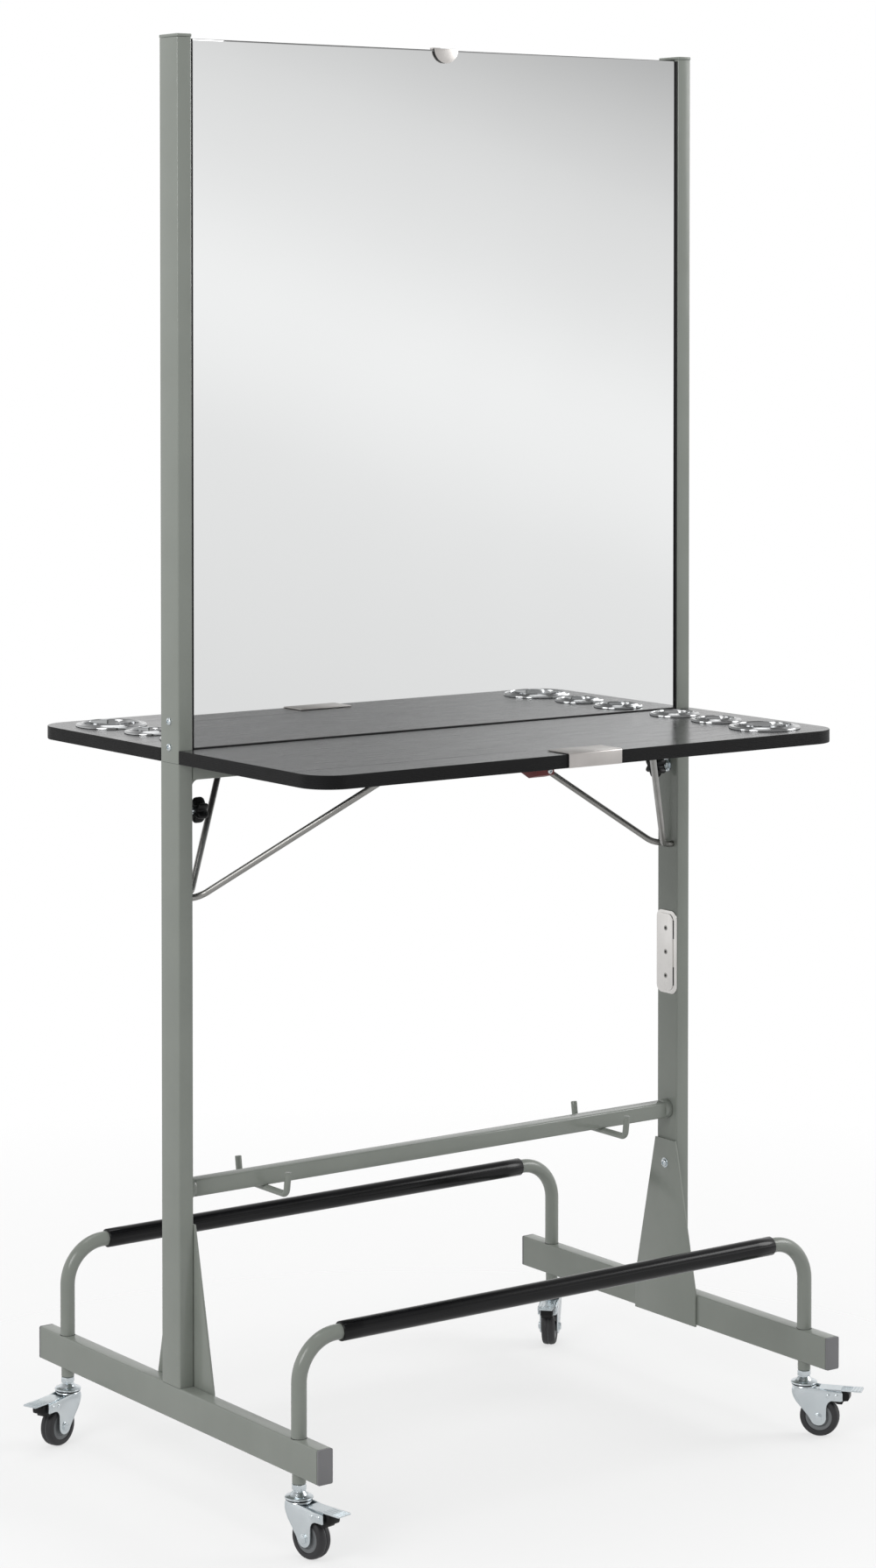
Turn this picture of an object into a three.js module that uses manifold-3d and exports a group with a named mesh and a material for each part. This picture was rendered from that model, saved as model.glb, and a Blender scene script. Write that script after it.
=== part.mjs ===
// Double-sided salon station: a tubular steel frame on braked castors, two mirror panes back to back
// and a drop leaf on each side that a hinged bail of bent rod holds up.
// Millimetres, +Z up, floor at z = 0. X runs from the left post to the right post and -Y is the front.
// The rear half repeats the front half, turned half a turn about Z.

import * as THREE from 'three';
import { mergeVertices } from 'three/addons/utils/BufferGeometryUtils.js';
import Module from 'manifold-3d';

const wasm = await Module();
wasm.setup();

// Whole station
const FRAME_WIDTH = 780;        // over the outer faces of the posts
const TOTAL_HEIGHT = 1731;      // floor to the top of the post caps
const TABLE_HEIGHT = 889;       // floor to the top of the leaves
const GAP = 0.3;                // assembly clearance between pieces that meet

// Rectangular tube of the posts, the feet and the table rail
const TUBE_DEEP = 40;
const TUBE_THIN = 20;
const TUBE_WALL = 2;
const TUBE_ROUND = 3;           // outer corner radius

// Castors, from the floor up
const WHEEL_RADIUS = 25;
const WHEEL_WIDE = 18;
const WHEEL_SIDES = 20;
const WHEEL_GROOVE = 1;         // depth of the groove round the tread
const HUB_RADIUS = 14;
const HUB_RECESS = 1.5;
const AXLE_RADIUS = 3.5;
const AXLE_HEAD_RADIUS = 5.5;
const AXLE_HEAD = 3;            // how far a head stands off its cheek
const TRAIL = 20;               // swivel axis to axle
const FORK_SHEET = 2.2;
const FORK_ROOM = 1.4;          // side gap between wheel and cheek
const FORK_BOSS = 10;           // radius of a cheek round the axle
const WHEEL_ROOM = 13.3;        // tread to the top of the fork
const RACE_RADIUS = 16.5;
const RACE_HEIGHT = 9;
const NUT_ACROSS = 17;          // across the corners
const NUT_HEIGHT = 8.4;
const STEM_LENGTH = 28;         // inside the footrest leg
const PEDAL_REACH = 74;         // swivel axis to the tip of the pedal
const PEDAL_WIDE = 20;
const PEDAL_SHEET = 2.5;
const PEDAL_PIVOT_OUT = 13;     // axle to pedal pivot, level
const PEDAL_PIVOT_UP = 27.5;    // axle to pedal pivot, upright
const PEDAL_RISE = 7.5;         // pedal pivot to the underside of the plate
const EAR_LENGTH = 18;          // cheek ear past the pedal pivot
const EAR_DROP = 4.5;           // cheek ear below the pedal pivot
const SHOE_ROOM = 3;            // shoe to tread with the brake off
const SHOE_LENGTH = 14;
const SHOE_HEEL = 4;            // flat at the outer end of the shoe

// Feet and footrests
const FOOT_LENGTH = 623;        // over the end caps
const SOCKET_SHOWING = 12;      // footrest leg below the foot
const CAP_PLATE = 3;
const CAP_PLUG = 12;
const FOOTREST_INSET = 53.5;    // end of the foot to the centre of the footrest leg
const FOOTREST_HEIGHT = 245;    // floor to the centre of the bar
const FOOTREST_TUBE = 18;
const FOOTREST_WALL = 1.5;
const FOOTREST_BEND = 50;
const SLEEVE_LENGTH = 648;
const SLEEVE_WALL = 2.2;

// Posts
const POST_CAP_LIP = 0.5;       // how far a post cap stands past the tube
const POST_CAP_PLATE = 4;
const SPIGOT_BELOW = 87;        // below the seam, inside the lower post
const SPIGOT_ABOVE = 68;
const SPIGOT_WALL = 3;
const SPIGOT_BAND = 24;         // where the spigot fills the upper post and is welded to it
const GUSSET_SHEET = 3;
const GUSSET_TOP = 325;
const GUSSET_TOP_WIDE = 40;
const GUSSET_FOOT_WIDE = 123;
const GUSSET_LIP = 1.5;         // gusset edge below the foot

// Rails
const TABLE_RAIL_HIGH = 20;
const RAIL_FILLET = 9;
const HOOK_RAIL_TOP = 375;
const HOOK_RAIL_SIDE = 20;
const HOOK_RAIL_BOSS = 9;       // length of the round boss at each end
const HOOK_RAIL_BOSS_RADIUS = 12.5;
const HOOK_PITCH = 518;
const HOOK_ROD = 8;
const HOOK_REACH = 51;          // rail centre to the turned-up end
const HOOK_LEAN = 4;
const HOOK_RISE = 27;           // centre of the rod to the tip
const HOOK_BEND = 8;
const HOOK_WELD = 0.5;

// Mirror
const PANE_THICK = 4;
const PANE_SHY = 3;             // edge of a pane to the inner face of each post
const PANE_TOP_GAP = 6;         // pane below the top of the caps
const CORE_THICK = 24;          // room between the panes, filled by the core board
const CORE_INSERT = 5;          // how far the core board reaches into each post
const CORE_RISE = 2;            // core board above the panes
const SILL_WALL = 1.7;
const SILL_HIGH = 14;
const SILL_FLOOR = 4.7;
const CLIP_WIDE = 36;
const CLIP_SHEET = 2;

// Leaves
const LEAF_DEPTH = 295;
const LEAF_THICK = 16;
const LEAF_ROUND = 40;
const LEAF_GAP = 0.5;           // leaf to the front of the posts
const RING_END = 69;            // leaf end to the row of rings
const RING_FIRST = 53;          // inner edge of the leaf to the first ring
const RING_PITCH = 82;
const RING_LARGE_PITCH = 92;
const RING_SMALL = 64;
const RING_LARGE = 89;
const RING_RIM = 10;
const RING_RISE = 4.5;
const RING_SLEEVE = 1.6;
const RING_SIDES = 20;
const CLAMP_WIDE = 79;
const CLAMP_DEEP = 41.5;
const CLAMP_SHEET = 1.5;

// Leaf hinge
const HINGE_OUT = 5.5;          // axis outside the inner edge of the leaf
const HINGE_DROP = 3;           // axis below the underside of the leaf
const HINGE_LENGTH = 588;        // ends clear of the tool rings
const HINGE_KNUCKLES = 7;
const HINGE_STRAP = 32;
const HINGE_SHEET = 1.5;
const KNUCKLE_RADIUS = 2.6;
const HINGE_PIN_RADIUS = 1.2;
const KNUCKLE_PLAY = 0.4;       // between neighbouring knuckles

// Bail and its catch
const BAIL_ROD = 8;
const BAIL_PIN_OUT = 10;        // post centre to the bail pin
const BAIL_PIN_DROP = 161;      // leaf underside to the bail pin
const BAIL_PIN_INSIDE = 10;     // pin past the inner face of the post
const BAIL_STANDOFF = 15;       // inner face of the post to the leg
const BAIL_BAR_OUT = 179;       // post centre to the bar under the leaf
const BAIL_BAR_DROP = 11;
const BAIL_BAR_LENGTH = 395;
const BAIL_BEND = 22;
const CATCH_WIDE = 26;
const CATCH_ASIDE = -17;        // catch from the middle of the leaf, towards its plain end
const CATCH_BEHIND = 10;        // catch inside the bar
const CATCH_AHEAD = 64;         // catch outside the bar
const CATCH_PLAY = 0.8;         // bar to catch
const CATCH_TOE = 17;           // bevelled outer end of the catch

// Clamp knobs and the accessory plate
const KNOB_ACROSS = 31;
const KNOB_LOBES = 6;
const KNOB_LOBE_DEPTH = 5.5;
const KNOB_LENGTH = 16.5;
const KNOB_BEVEL = 4;
const KNOB_OFF = 12;            // post to the back of the knob
const KNOB_HUB_RADIUS = 7;
const KNOB_STUD_RADIUS = 4;
const KNOB_DROP = 59;           // seam to the knob
const PLATE_WIDE = 40;
const PLATE_HIGH = 108;
const PLATE_SHEET = 2.5;
const PLATE_ROUND = 10;
const PLATE_HEIGHT = 570;       // floor to the centre of the plate
const SLIT_WIDE = 1.6;
const SLIT_HIGH = 24;
const SLIT_PITCH = 61;
const SLIT_OUT = 14.5;

// Places worked out from the sizes above
const POST_X = (FRAME_WIDTH - TUBE_THIN) / 2;
const INNER_X = FRAME_WIDTH / 2 - TUBE_THIN;
const AXLE_HEIGHT = WHEEL_RADIUS * Math.cos(Math.PI / WHEEL_SIDES);
const FORK_TOP = AXLE_HEIGHT + WHEEL_RADIUS + WHEEL_ROOM;
const RACE_TOP = FORK_TOP + GAP + RACE_HEIGHT;
const LEG_END = RACE_TOP + NUT_HEIGHT + GAP;
const FOOT_UNDER = LEG_END + SOCKET_SHOWING;
const FOOT_TOP = FOOT_UNDER + TUBE_DEEP;
const FOOTREST_PITCH = FOOT_LENGTH - 2 * FOOTREST_INSET;
const LEAF_UNDER = TABLE_HEIGHT - LEAF_THICK;
const LEAF_INNER = TUBE_DEEP / 2 + LEAF_GAP;
const LEAF_OUTER = LEAF_INNER + LEAF_DEPTH;
const SEAM = LEAF_UNDER;
const POST_TOP = TOTAL_HEIGHT - POST_CAP_PLATE;
const PANE_BOTTOM = SEAM + SILL_FLOOR + 2 * GAP;
const PANE_TOP = TOTAL_HEIGHT - PANE_TOP_GAP;
const CORE_TOP = PANE_TOP + CORE_RISE;
const PANES_HALF = CORE_THICK / 2 + PANE_THICK;
const HINGE_Y = LEAF_INNER + HINGE_OUT;
const HINGE_Z = LEAF_UNDER - HINGE_DROP;
const BAIL_PIN_Z = LEAF_UNDER - BAIL_PIN_DROP;
const BAIL_BAR_Z = LEAF_UNDER - BAIL_BAR_DROP;
const RING_X = FRAME_WIDTH / 2 - RING_END;

// Facets of round shapes
const CORNER_FACETS = 2;
const ROD_SIDES = 8;
const TUBE_SIDES = 12;
const BEND_STEPS = 4;

function finish(color, roughness, metalness) {
  return new THREE.MeshStandardMaterial({ color, roughness, metalness, flatShading: true });
}

const POWDER_COAT = finish(0x8f968d, 0.45, 0.1);
const GREY_PLASTIC = finish(0x83878b, 0.6, 0);
const BLACK_PLASTIC = finish(0x17181a, 0.4, 0);
const BLACK_VINYL = finish(0x141518, 0.25, 0);
const LAMINATE = finish(0x2c2e30, 0.5, 0);
const MIRROR_GLASS = finish(0xdfe4e6, 0.03, 1);
const CHROME = finish(0xd6d8da, 0.1, 1);
const BRUSHED_STEEL = finish(0xb9b6b2, 0.35, 1);
const ZINC = finish(0xb4bcc0, 0.3, 1);
const RUBBER = finish(0x55565a, 0.8, 0);
const RED_PLASTIC = finish(0x6e1f22, 0.5, 0);

// Solids

function signedVolume(positions, triangles) {
  let sum = 0;
  const corner = [new THREE.Vector3(), new THREE.Vector3(), new THREE.Vector3()];
  for (let i = 0; i < triangles.length; i += 3) {
    corner.forEach((point, k) => point.fromArray(positions, 3 * triangles[i + k]));
    sum += corner[0].dot(corner[1].clone().cross(corner[2]));
  }
  return sum;
}

// A closed geometry becomes a solid once its shared corners are merged and its faces point out
function solid(geometry) {
  const bare = new THREE.BufferGeometry();
  bare.setAttribute('position', geometry.getAttribute('position'));
  if (geometry.index) bare.setIndex(geometry.index);
  const merged = mergeVertices(bare, 1e-4);
  const positions = Float32Array.from(merged.getAttribute('position').array);
  const triangles = [];
  for (let i = 0; i < merged.index.count; i += 3) {
    const [a, b, c] = [0, 1, 2].map((k) => merged.index.getX(i + k));
    if (a !== b && b !== c && c !== a) triangles.push(a, b, c);
  }
  if (signedVolume(positions, triangles) < 0) triangles.reverse();
  const triVerts = Uint32Array.from(triangles);
  return new wasm.Manifold(new wasm.Mesh({ numProp: 3, vertProperties: positions, triVerts }));
}

function part(name, shape, material) {
  const { vertProperties, triVerts } = shape.getMesh();
  const geometry = new THREE.BufferGeometry();
  geometry.setAttribute('position', new THREE.Float32BufferAttribute(vertProperties, 3));
  geometry.setIndex(Array.from(triVerts));
  geometry.computeVertexNormals();
  const mesh = new THREE.Mesh(geometry, material);
  mesh.name = name;
  return mesh;
}

function box(low, high) {
  const size = high.map((value, i) => value - low[i]);
  const middle = high.map((value, i) => (value + low[i]) / 2);
  return solid(new THREE.BoxGeometry(...size).translate(...middle));
}

// Each axis takes a flat outline from the two axes that follow it: x from (Y, Z), y from (Z, X)
const UNIT = { x: new THREE.Vector3(1, 0, 0), y: new THREE.Vector3(0, 1, 0), z: new THREE.Vector3(0, 0, 1) };
const ALONG = {
  x: new THREE.Matrix4().makeBasis(UNIT.y, UNIT.z, UNIT.x),
  y: new THREE.Matrix4().makeBasis(UNIT.z, UNIT.x, UNIT.y),
  z: new THREE.Matrix4(),
};

// An arc of an outline is drawn with two facets for each of its segments
function extrude(outline, axis, from, to, facets = CORNER_FACETS) {
  const settings = { depth: to - from, bevelEnabled: false, curveSegments: facets / 2 };
  const geometry = new THREE.ExtrudeGeometry(outline, settings).translate(0, 0, from);
  return solid(geometry.applyMatrix4(ALONG[axis]));
}

function disc(a, b, radius) {
  return new THREE.Shape().absarc(a, b, radius, 0, 2 * Math.PI);
}

function cylinder(axis, a, b, radius, from, to, sides = ROD_SIDES) {
  return extrude(disc(a, b, radius), axis, from, to, sides);
}

function polygon(points) {
  return new THREE.Shape(points.map(([a, b]) => new THREE.Vector2(a, b)));
}

function roundedRect(wide, high, radius, a = 0, b = 0) {
  const right = a + wide / 2 - radius;
  const left = a - wide / 2 + radius;
  const top = b + high / 2 - radius;
  const bottom = b - high / 2 + radius;
  const quarter = Math.PI / 2;
  return new THREE.Shape()
    .absarc(right, top, radius, 0, quarter)
    .absarc(left, top, radius, quarter, 2 * quarter)
    .absarc(left, bottom, radius, 2 * quarter, 3 * quarter)
    .absarc(right, bottom, radius, 3 * quarter, 4 * quarter);
}

function tubeOutline(wide, high, wall, radius, a = 0, b = 0) {
  const outline = roundedRect(wide, high, radius, a, b);
  const inside = Math.max(radius - wall, 0.5);
  outline.holes.push(roundedRect(wide - 2 * wall, high - 2 * wall, inside, a, b));
  return outline;
}

// A bent rod's centre line: straight runs, round bends, and one section at each end of a run and bend step
class BentPath extends THREE.Curve {
  constructor(corners, radius) {
    super();
    const points = corners.map((corner) => new THREE.Vector3(...corner));
    const last = points.length - 1;
    this.stations = [{ point: points[0], tangent: this.heading(points[0], points[1]) }];
    for (let i = 1; i < last; i += 1) this.bend(points[i - 1], points[i], points[i + 1], radius);
    this.stations.push({ point: points[last], tangent: this.heading(points[last - 1], points[last]) });
  }

  heading(from, to) {
    return to.clone().sub(from).normalize();
  }

  bend(before, corner, after, radius) {
    const into = this.heading(before, corner);
    const out = this.heading(corner, after);
    const turn = into.angleTo(out);
    const inward = out.clone().addScaledVector(into, -into.dot(out)).normalize();
    const start = corner.clone().addScaledVector(into, -radius * Math.tan(turn / 2));
    for (let i = 0; i <= BEND_STEPS; i += 1) {
      const angle = (turn * i) / BEND_STEPS;
      const ahead = radius * Math.sin(angle);
      const aside = radius * (1 - Math.cos(angle));
      const point = start.clone().addScaledVector(into, ahead).addScaledVector(inward, aside);
      const tangent = into.clone().multiplyScalar(Math.cos(angle)).addScaledVector(inward, Math.sin(angle));
      this.stations.push({ point, tangent });
    }
  }

  at(u) {
    return this.stations[Math.round(u * (this.stations.length - 1))];
  }

  getPointAt(u) {
    return this.at(u).point.clone();
  }

  getTangentAt(u) {
    return this.at(u).tangent.clone();
  }
}

function sweep(outline, corners, bendRadius, sides) {
  const extrudePath = new BentPath(corners, bendRadius);
  const steps = extrudePath.stations.length - 1;
  return solid(new THREE.ExtrudeGeometry(outline, { extrudePath, steps, curveSegments: sides / 2 }));
}

// A closed profile of [radius, height] turned about Z
function turned(profile, sides) {
  const points = [...profile, profile[0]].map(([radius, height]) => new THREE.Vector2(radius, height));
  return solid(new THREE.LatheGeometry(points, sides).rotateX(Math.PI / 2));
}

// Foot: the tube that stands on two castors, with round holes that the footrest legs pass through
function foot(side) {
  const half = FOOT_LENGTH / 2 - CAP_PLATE - GAP;
  const middle = (FOOT_UNDER + FOOT_TOP) / 2;
  const outline = tubeOutline(TUBE_DEEP, TUBE_THIN, TUBE_WALL, TUBE_ROUND, middle, POST_X);
  const legHole = FOOTREST_TUBE / 2 + GAP;
  let body = extrude(outline, 'y', -half, half);
  for (const end of [-1, 1]) {
    const y = (end * FOOTREST_PITCH) / 2;
    body = body.subtract(cylinder('z', POST_X, y, legHole, FOOT_UNDER - 1, FOOT_TOP + 1, TUBE_SIDES));
  }
  return part(`foot_${side}`, body, POWDER_COAT);
}

// End cap of a foot: a plate over the tube's end with a plug inside it
function footCap(side, face, end) {
  const middle = (FOOT_UNDER + FOOT_TOP) / 2;
  const outer = (end * FOOT_LENGTH) / 2;
  const inner = outer - end * CAP_PLATE;
  const tip = inner - end * CAP_PLUG;
  const inset = 2 * (TUBE_WALL + GAP);
  const plate = roundedRect(TUBE_DEEP, TUBE_THIN, TUBE_ROUND, middle, POST_X);
  const plug = roundedRect(TUBE_DEEP - inset, TUBE_THIN - inset, 1, middle, POST_X);
  const lid = extrude(plate, 'y', Math.min(outer, inner), Math.max(outer, inner));
  const stub = extrude(plug, 'y', Math.min(inner, tip), Math.max(inner, tip));
  return part(`foot_cap_${side}_${face}`, lid.add(stub), GREY_PLASTIC);
}

// Lower post: stands on the foot; its inner wall has the bail pin holes and the knob's hole
function lowerPost(side) {
  const outline = tubeOutline(TUBE_THIN, TUBE_DEEP, TUBE_WALL, TUBE_ROUND, POST_X, 0);
  let body = extrude(outline, 'z', FOOT_TOP + GAP, SEAM - GAP / 2);
  const holes = [
    [BAIL_PIN_OUT, BAIL_PIN_Z, BAIL_ROD / 2],
    [-BAIL_PIN_OUT, BAIL_PIN_Z, BAIL_ROD / 2],
    [0, SEAM - KNOB_DROP, KNOB_STUD_RADIUS],
  ];
  for (const [y, z, radius] of holes) {
    const hole = cylinder('x', y, z, radius + GAP, INNER_X - 1, INNER_X + TUBE_WALL + 1, 2 * ROD_SIDES);
    body = body.subtract(hole);
  }
  return part(`lower_post_${side}`, body, POWDER_COAT);
}

// Upper post: slotted for the mirror, with a welded spigot that plugs into the lower post
function upperPost(side) {
  const outline = tubeOutline(TUBE_THIN, TUBE_DEEP, TUBE_WALL, TUBE_ROUND, POST_X, 0);
  const inset = 2 * (TUBE_WALL + GAP);
  const spigotOutline = tubeOutline(TUBE_THIN - inset, TUBE_DEEP - inset, SPIGOT_WALL, 1, POST_X, 0);
  const bandInset = 2 * TUBE_WALL - GAP;
  const bandOutline = tubeOutline(TUBE_THIN - bandInset, TUBE_DEEP - bandInset, SPIGOT_WALL, 1, POST_X, 0);
  const bandBottom = SEAM + GAP;
  const slotHalf = CORE_THICK / 2;
  const slotLow = [INNER_X - 1, -slotHalf, PANE_BOTTOM - GAP];
  const slotHigh = [INNER_X + CORE_INSERT + 1, slotHalf, POST_TOP + 1];
  const body = extrude(outline, 'z', SEAM + GAP / 2, POST_TOP)
    .add(extrude(spigotOutline, 'z', SEAM - SPIGOT_BELOW, SEAM + SPIGOT_ABOVE))
    .add(extrude(bandOutline, 'z', bandBottom, bandBottom + SPIGOT_BAND))
    .subtract(box(slotLow, slotHigh));
  return part(`upper_post_${side}`, body, POWDER_COAT);
}

// Post cap: a plate over the post with a plug beside the mirror slot
function postCap(side) {
  const lip = 2 * POST_CAP_LIP;
  const plate = roundedRect(TUBE_THIN + lip, TUBE_DEEP + lip, TUBE_ROUND, POST_X, 0);
  const wallInset = TUBE_WALL + GAP;
  const plugLow = [INNER_X + CORE_INSERT + 1 + GAP, wallInset - TUBE_DEEP / 2, POST_TOP - CAP_PLUG];
  const plugHigh = [FRAME_WIDTH / 2 - wallInset, TUBE_DEEP / 2 - wallInset, POST_TOP + GAP + 1];
  const body = extrude(plate, 'z', POST_TOP + GAP, TOTAL_HEIGHT).add(box(plugLow, plugHigh));
  return part(`post_cap_${side}`, body, GREY_PLASTIC);
}

// Gusset: a tapered plate on the inner face that ties the post to its foot
function gusset(side) {
  const low = FOOT_UNDER - GUSSET_LIP;
  const outline = polygon([
    [-GUSSET_FOOT_WIDE / 2, low],
    [GUSSET_FOOT_WIDE / 2, low],
    [GUSSET_FOOT_WIDE / 2, FOOT_TOP],
    [GUSSET_TOP_WIDE / 2, GUSSET_TOP],
    [-GUSSET_TOP_WIDE / 2, GUSSET_TOP],
    [-GUSSET_FOOT_WIDE / 2, FOOT_TOP],
  ]);
  const face = INNER_X - GAP;
  return part(`gusset_${side}`, extrude(outline, 'x', face - GUSSET_SHEET, face), POWDER_COAT);
}

// Footrest: one bent tube whose legs pass through the feet and end as the castor sockets
function footrest(face) {
  const y = -FOOTREST_PITCH / 2;
  const radius = FOOTREST_TUBE / 2;
  const outline = disc(0, 0, radius);
  outline.holes.push(disc(0, 0, radius - FOOTREST_WALL));
  const corners = [
    [-POST_X, y, LEG_END],
    [-POST_X, y, FOOTREST_HEIGHT],
    [POST_X, y, FOOTREST_HEIGHT],
    [POST_X, y, LEG_END],
  ];
  return part(`footrest_${face}`, sweep(outline, corners, FOOTREST_BEND, TUBE_SIDES), POWDER_COAT);
}

// Footrest sleeve: a vinyl tube slid over the bar
function footrestSleeve(face) {
  const y = -FOOTREST_PITCH / 2;
  const bore = FOOTREST_TUBE / 2 + GAP;
  const outline = disc(y, FOOTREST_HEIGHT, bore + SLEEVE_WALL);
  outline.holes.push(disc(y, FOOTREST_HEIGHT, bore));
  const body = extrude(outline, 'x', -SLEEVE_LENGTH / 2, SLEEVE_LENGTH / 2, TUBE_SIDES);
  return part(`footrest_sleeve_${face}`, body, BLACK_VINYL);
}

// Hinge knuckles: the even ones belong to the leaf and the odd ones to the rail
function knuckleSpan(index) {
  const pitch = HINGE_LENGTH / HINGE_KNUCKLES;
  const start = -HINGE_LENGTH / 2 + index * pitch;
  return [start + KNUCKLE_PLAY / 2, start + pitch - KNUCKLE_PLAY / 2];
}

// Rail half of a leaf hinge: knuckles on short webs, with the pin that the leaf's knuckles turn on
function railKnuckles() {
  const half = HINGE_LENGTH / 2;
  let body = cylinder('x', -HINGE_Y, HINGE_Z, HINGE_PIN_RADIUS, -half, half);
  for (let i = 1; i < HINGE_KNUCKLES; i += 2) {
    const [from, to] = knuckleSpan(i);
    const webLow = [from, -HINGE_Y, HINGE_Z - HINGE_SHEET / 2];
    const webHigh = [to, -TUBE_DEEP / 2 + TUBE_WALL / 2, HINGE_Z + HINGE_SHEET / 2];
    body = body.add(cylinder('x', -HINGE_Y, HINGE_Z, KNUCKLE_RADIUS, from, to)).add(box(webLow, webHigh));
  }
  return body;
}

// Table rail: joins the lower posts under the leaves, with filleted ends and both leaf hinges on it
function tableRail() {
  const end = INNER_X - GAP;
  const top = SEAM - GAP / 2;
  const middle = top - TABLE_RAIL_HIGH / 2;
  const under = top - TABLE_RAIL_HIGH;
  const outline = tubeOutline(TUBE_DEEP, TABLE_RAIL_HIGH, TUBE_WALL, TUBE_ROUND, 0, middle);
  const fillet = new THREE.Shape();
  fillet.moveTo(under - RAIL_FILLET, end);
  fillet.absarc(under - RAIL_FILLET, end - RAIL_FILLET, RAIL_FILLET, Math.PI / 2, 0, true);
  fillet.lineTo(under + TUBE_WALL / 2, end - RAIL_FILLET);
  fillet.lineTo(under + TUBE_WALL / 2, end);
  const filletHalf = TUBE_DEEP / 2 - TUBE_ROUND;
  const corner = extrude(fillet, 'y', -filletHalf, filletHalf, BEND_STEPS);
  const knuckles = railKnuckles();
  const body = extrude(outline, 'x', -end, end)
    .add(corner)
    .add(corner.rotate([0, 0, 180]))
    .add(knuckles)
    .add(knuckles.rotate([0, 0, 180]));
  return part('table_rail', body, POWDER_COAT);
}

// Hook rail: the low crossbar, with two U-shaped hooks for appliances welded under it
function hookRail() {
  const middle = HOOK_RAIL_TOP - HOOK_RAIL_SIDE / 2;
  const end = INNER_X - GAP;
  const bar = end - HOOK_RAIL_BOSS;
  const outline = tubeOutline(HOOK_RAIL_SIDE, HOOK_RAIL_SIDE, TUBE_WALL, TUBE_ROUND, 0, middle);
  const boss = disc(0, middle, HOOK_RAIL_BOSS_RADIUS);
  boss.holes.push(disc(0, middle, HOOK_RAIL_SIDE / 2 - TUBE_WALL - 1));
  const rodZ = HOOK_RAIL_TOP - HOOK_RAIL_SIDE - HOOK_ROD / 2 + HOOK_WELD;
  let body = extrude(outline, 'x', -bar, bar);
  for (const side of [-1, 1]) {
    const ends = [side * (bar - 1), side * end];
    const [from, to] = [Math.min(...ends), Math.max(...ends)];
    body = body.add(extrude(boss, 'x', from, to, TUBE_SIDES));
    const x = (side * HOOK_PITCH) / 2;
    const corners = [
      [x, -HOOK_REACH - HOOK_LEAN, rodZ + HOOK_RISE],
      [x, -HOOK_REACH, rodZ],
      [x, HOOK_REACH, rodZ],
      [x, HOOK_REACH + HOOK_LEAN, rodZ + HOOK_RISE],
    ];
    body = body.add(sweep(disc(0, 0, HOOK_ROD / 2), corners, HOOK_BEND, ROD_SIDES));
  }
  return part('hook_rail', body, POWDER_COAT);
}

// Mirror pane: bonded to one side of the core board, its edges just short of the posts
function mirrorPane(face) {
  const half = INNER_X - PANE_SHY;
  const low = [-half, -PANES_HALF, PANE_BOTTOM];
  const high = [half, -CORE_THICK / 2, PANE_TOP];
  return part(`mirror_pane_${face}`, box(low, high), MIRROR_GLASS);
}

// Mirror core: the dark board between the panes; its side edges stand in the slots of the upper posts
function mirrorCore() {
  const half = INNER_X + CORE_INSERT;
  const deep = CORE_THICK / 2 - GAP;
  return part('mirror_core', box([-half, -deep, PANE_BOTTOM], [half, deep, CORE_TOP]), BLACK_PLASTIC);
}

// Mirror sill: the channel between the upper posts that the core and both panes stand in
function mirrorSill() {
  const bottom = SEAM + GAP;
  const groove = PANES_HALF + GAP;
  const outer = groove + SILL_WALL;
  const outline = polygon([
    [-outer, bottom],
    [outer, bottom],
    [outer, bottom + SILL_HIGH],
    [groove, bottom + SILL_HIGH],
    [groove, bottom + SILL_FLOOR],
    [-groove, bottom + SILL_FLOOR],
    [-groove, bottom + SILL_HIGH],
    [-outer, bottom + SILL_HIGH],
  ]);
  return part('mirror_sill', extrude(outline, 'x', GAP - INNER_X, INNER_X - GAP), BLACK_PLASTIC);
}

// Mirror clip: a half-round cheek on each side and a bridge over the top edge of the core board
function mirrorClip() {
  const bottom = CORE_TOP + GAP;
  const inner = PANES_HALF + GAP;
  const outer = inner + CLIP_SHEET;
  const radius = CLIP_WIDE / 2;
  const cheek = new THREE.Shape().absarc(bottom, 0, radius, Math.PI / 2, 1.5 * Math.PI);
  const body = box([-radius, -outer, bottom], [radius, outer, bottom + CLIP_SHEET])
    .add(extrude(cheek, 'y', -outer, -inner, TUBE_SIDES))
    .add(extrude(cheek, 'y', inner, outer, TUBE_SIDES));
  return part('mirror_clip', body, CHROME);
}

// Rings in one leaf, from the mirror outwards
const RINGS = [
  { name: 'inner', across: RING_SMALL, out: RING_FIRST },
  { name: 'middle', across: RING_SMALL, out: RING_FIRST + RING_PITCH },
  { name: 'outer', across: RING_LARGE, out: RING_FIRST + RING_PITCH + RING_LARGE_PITCH },
].map((one) => ({ ...one, y: -LEAF_INNER - one.out }));

function sleeveRadius(across) {
  return across / 2 - RING_RIM + RING_SLEEVE;
}

// Leaf: laminated board with rounded outer corners and a through hole for each ring
function leaf(face) {
  const end = FRAME_WIDTH / 2;
  const arcX = end - LEAF_ROUND;
  const arcY = -LEAF_OUTER + LEAF_ROUND;
  const outline = new THREE.Shape();
  outline.moveTo(end, -LEAF_INNER);
  outline.lineTo(-end, -LEAF_INNER);
  outline.absarc(-arcX, arcY, LEAF_ROUND, Math.PI, 1.5 * Math.PI);
  outline.absarc(arcX, arcY, LEAF_ROUND, 1.5 * Math.PI, 2 * Math.PI);
  let body = extrude(outline, 'z', LEAF_UNDER, TABLE_HEIGHT, BEND_STEPS);
  for (const { across, y } of RINGS) {
    const radius = sleeveRadius(across) + GAP;
    body = body.subtract(cylinder('z', RING_X, y, radius, LEAF_UNDER - 1, TABLE_HEIGHT + 1, RING_SIDES));
  }
  return part(`leaf_${face}`, body, LAMINATE);
}

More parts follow.
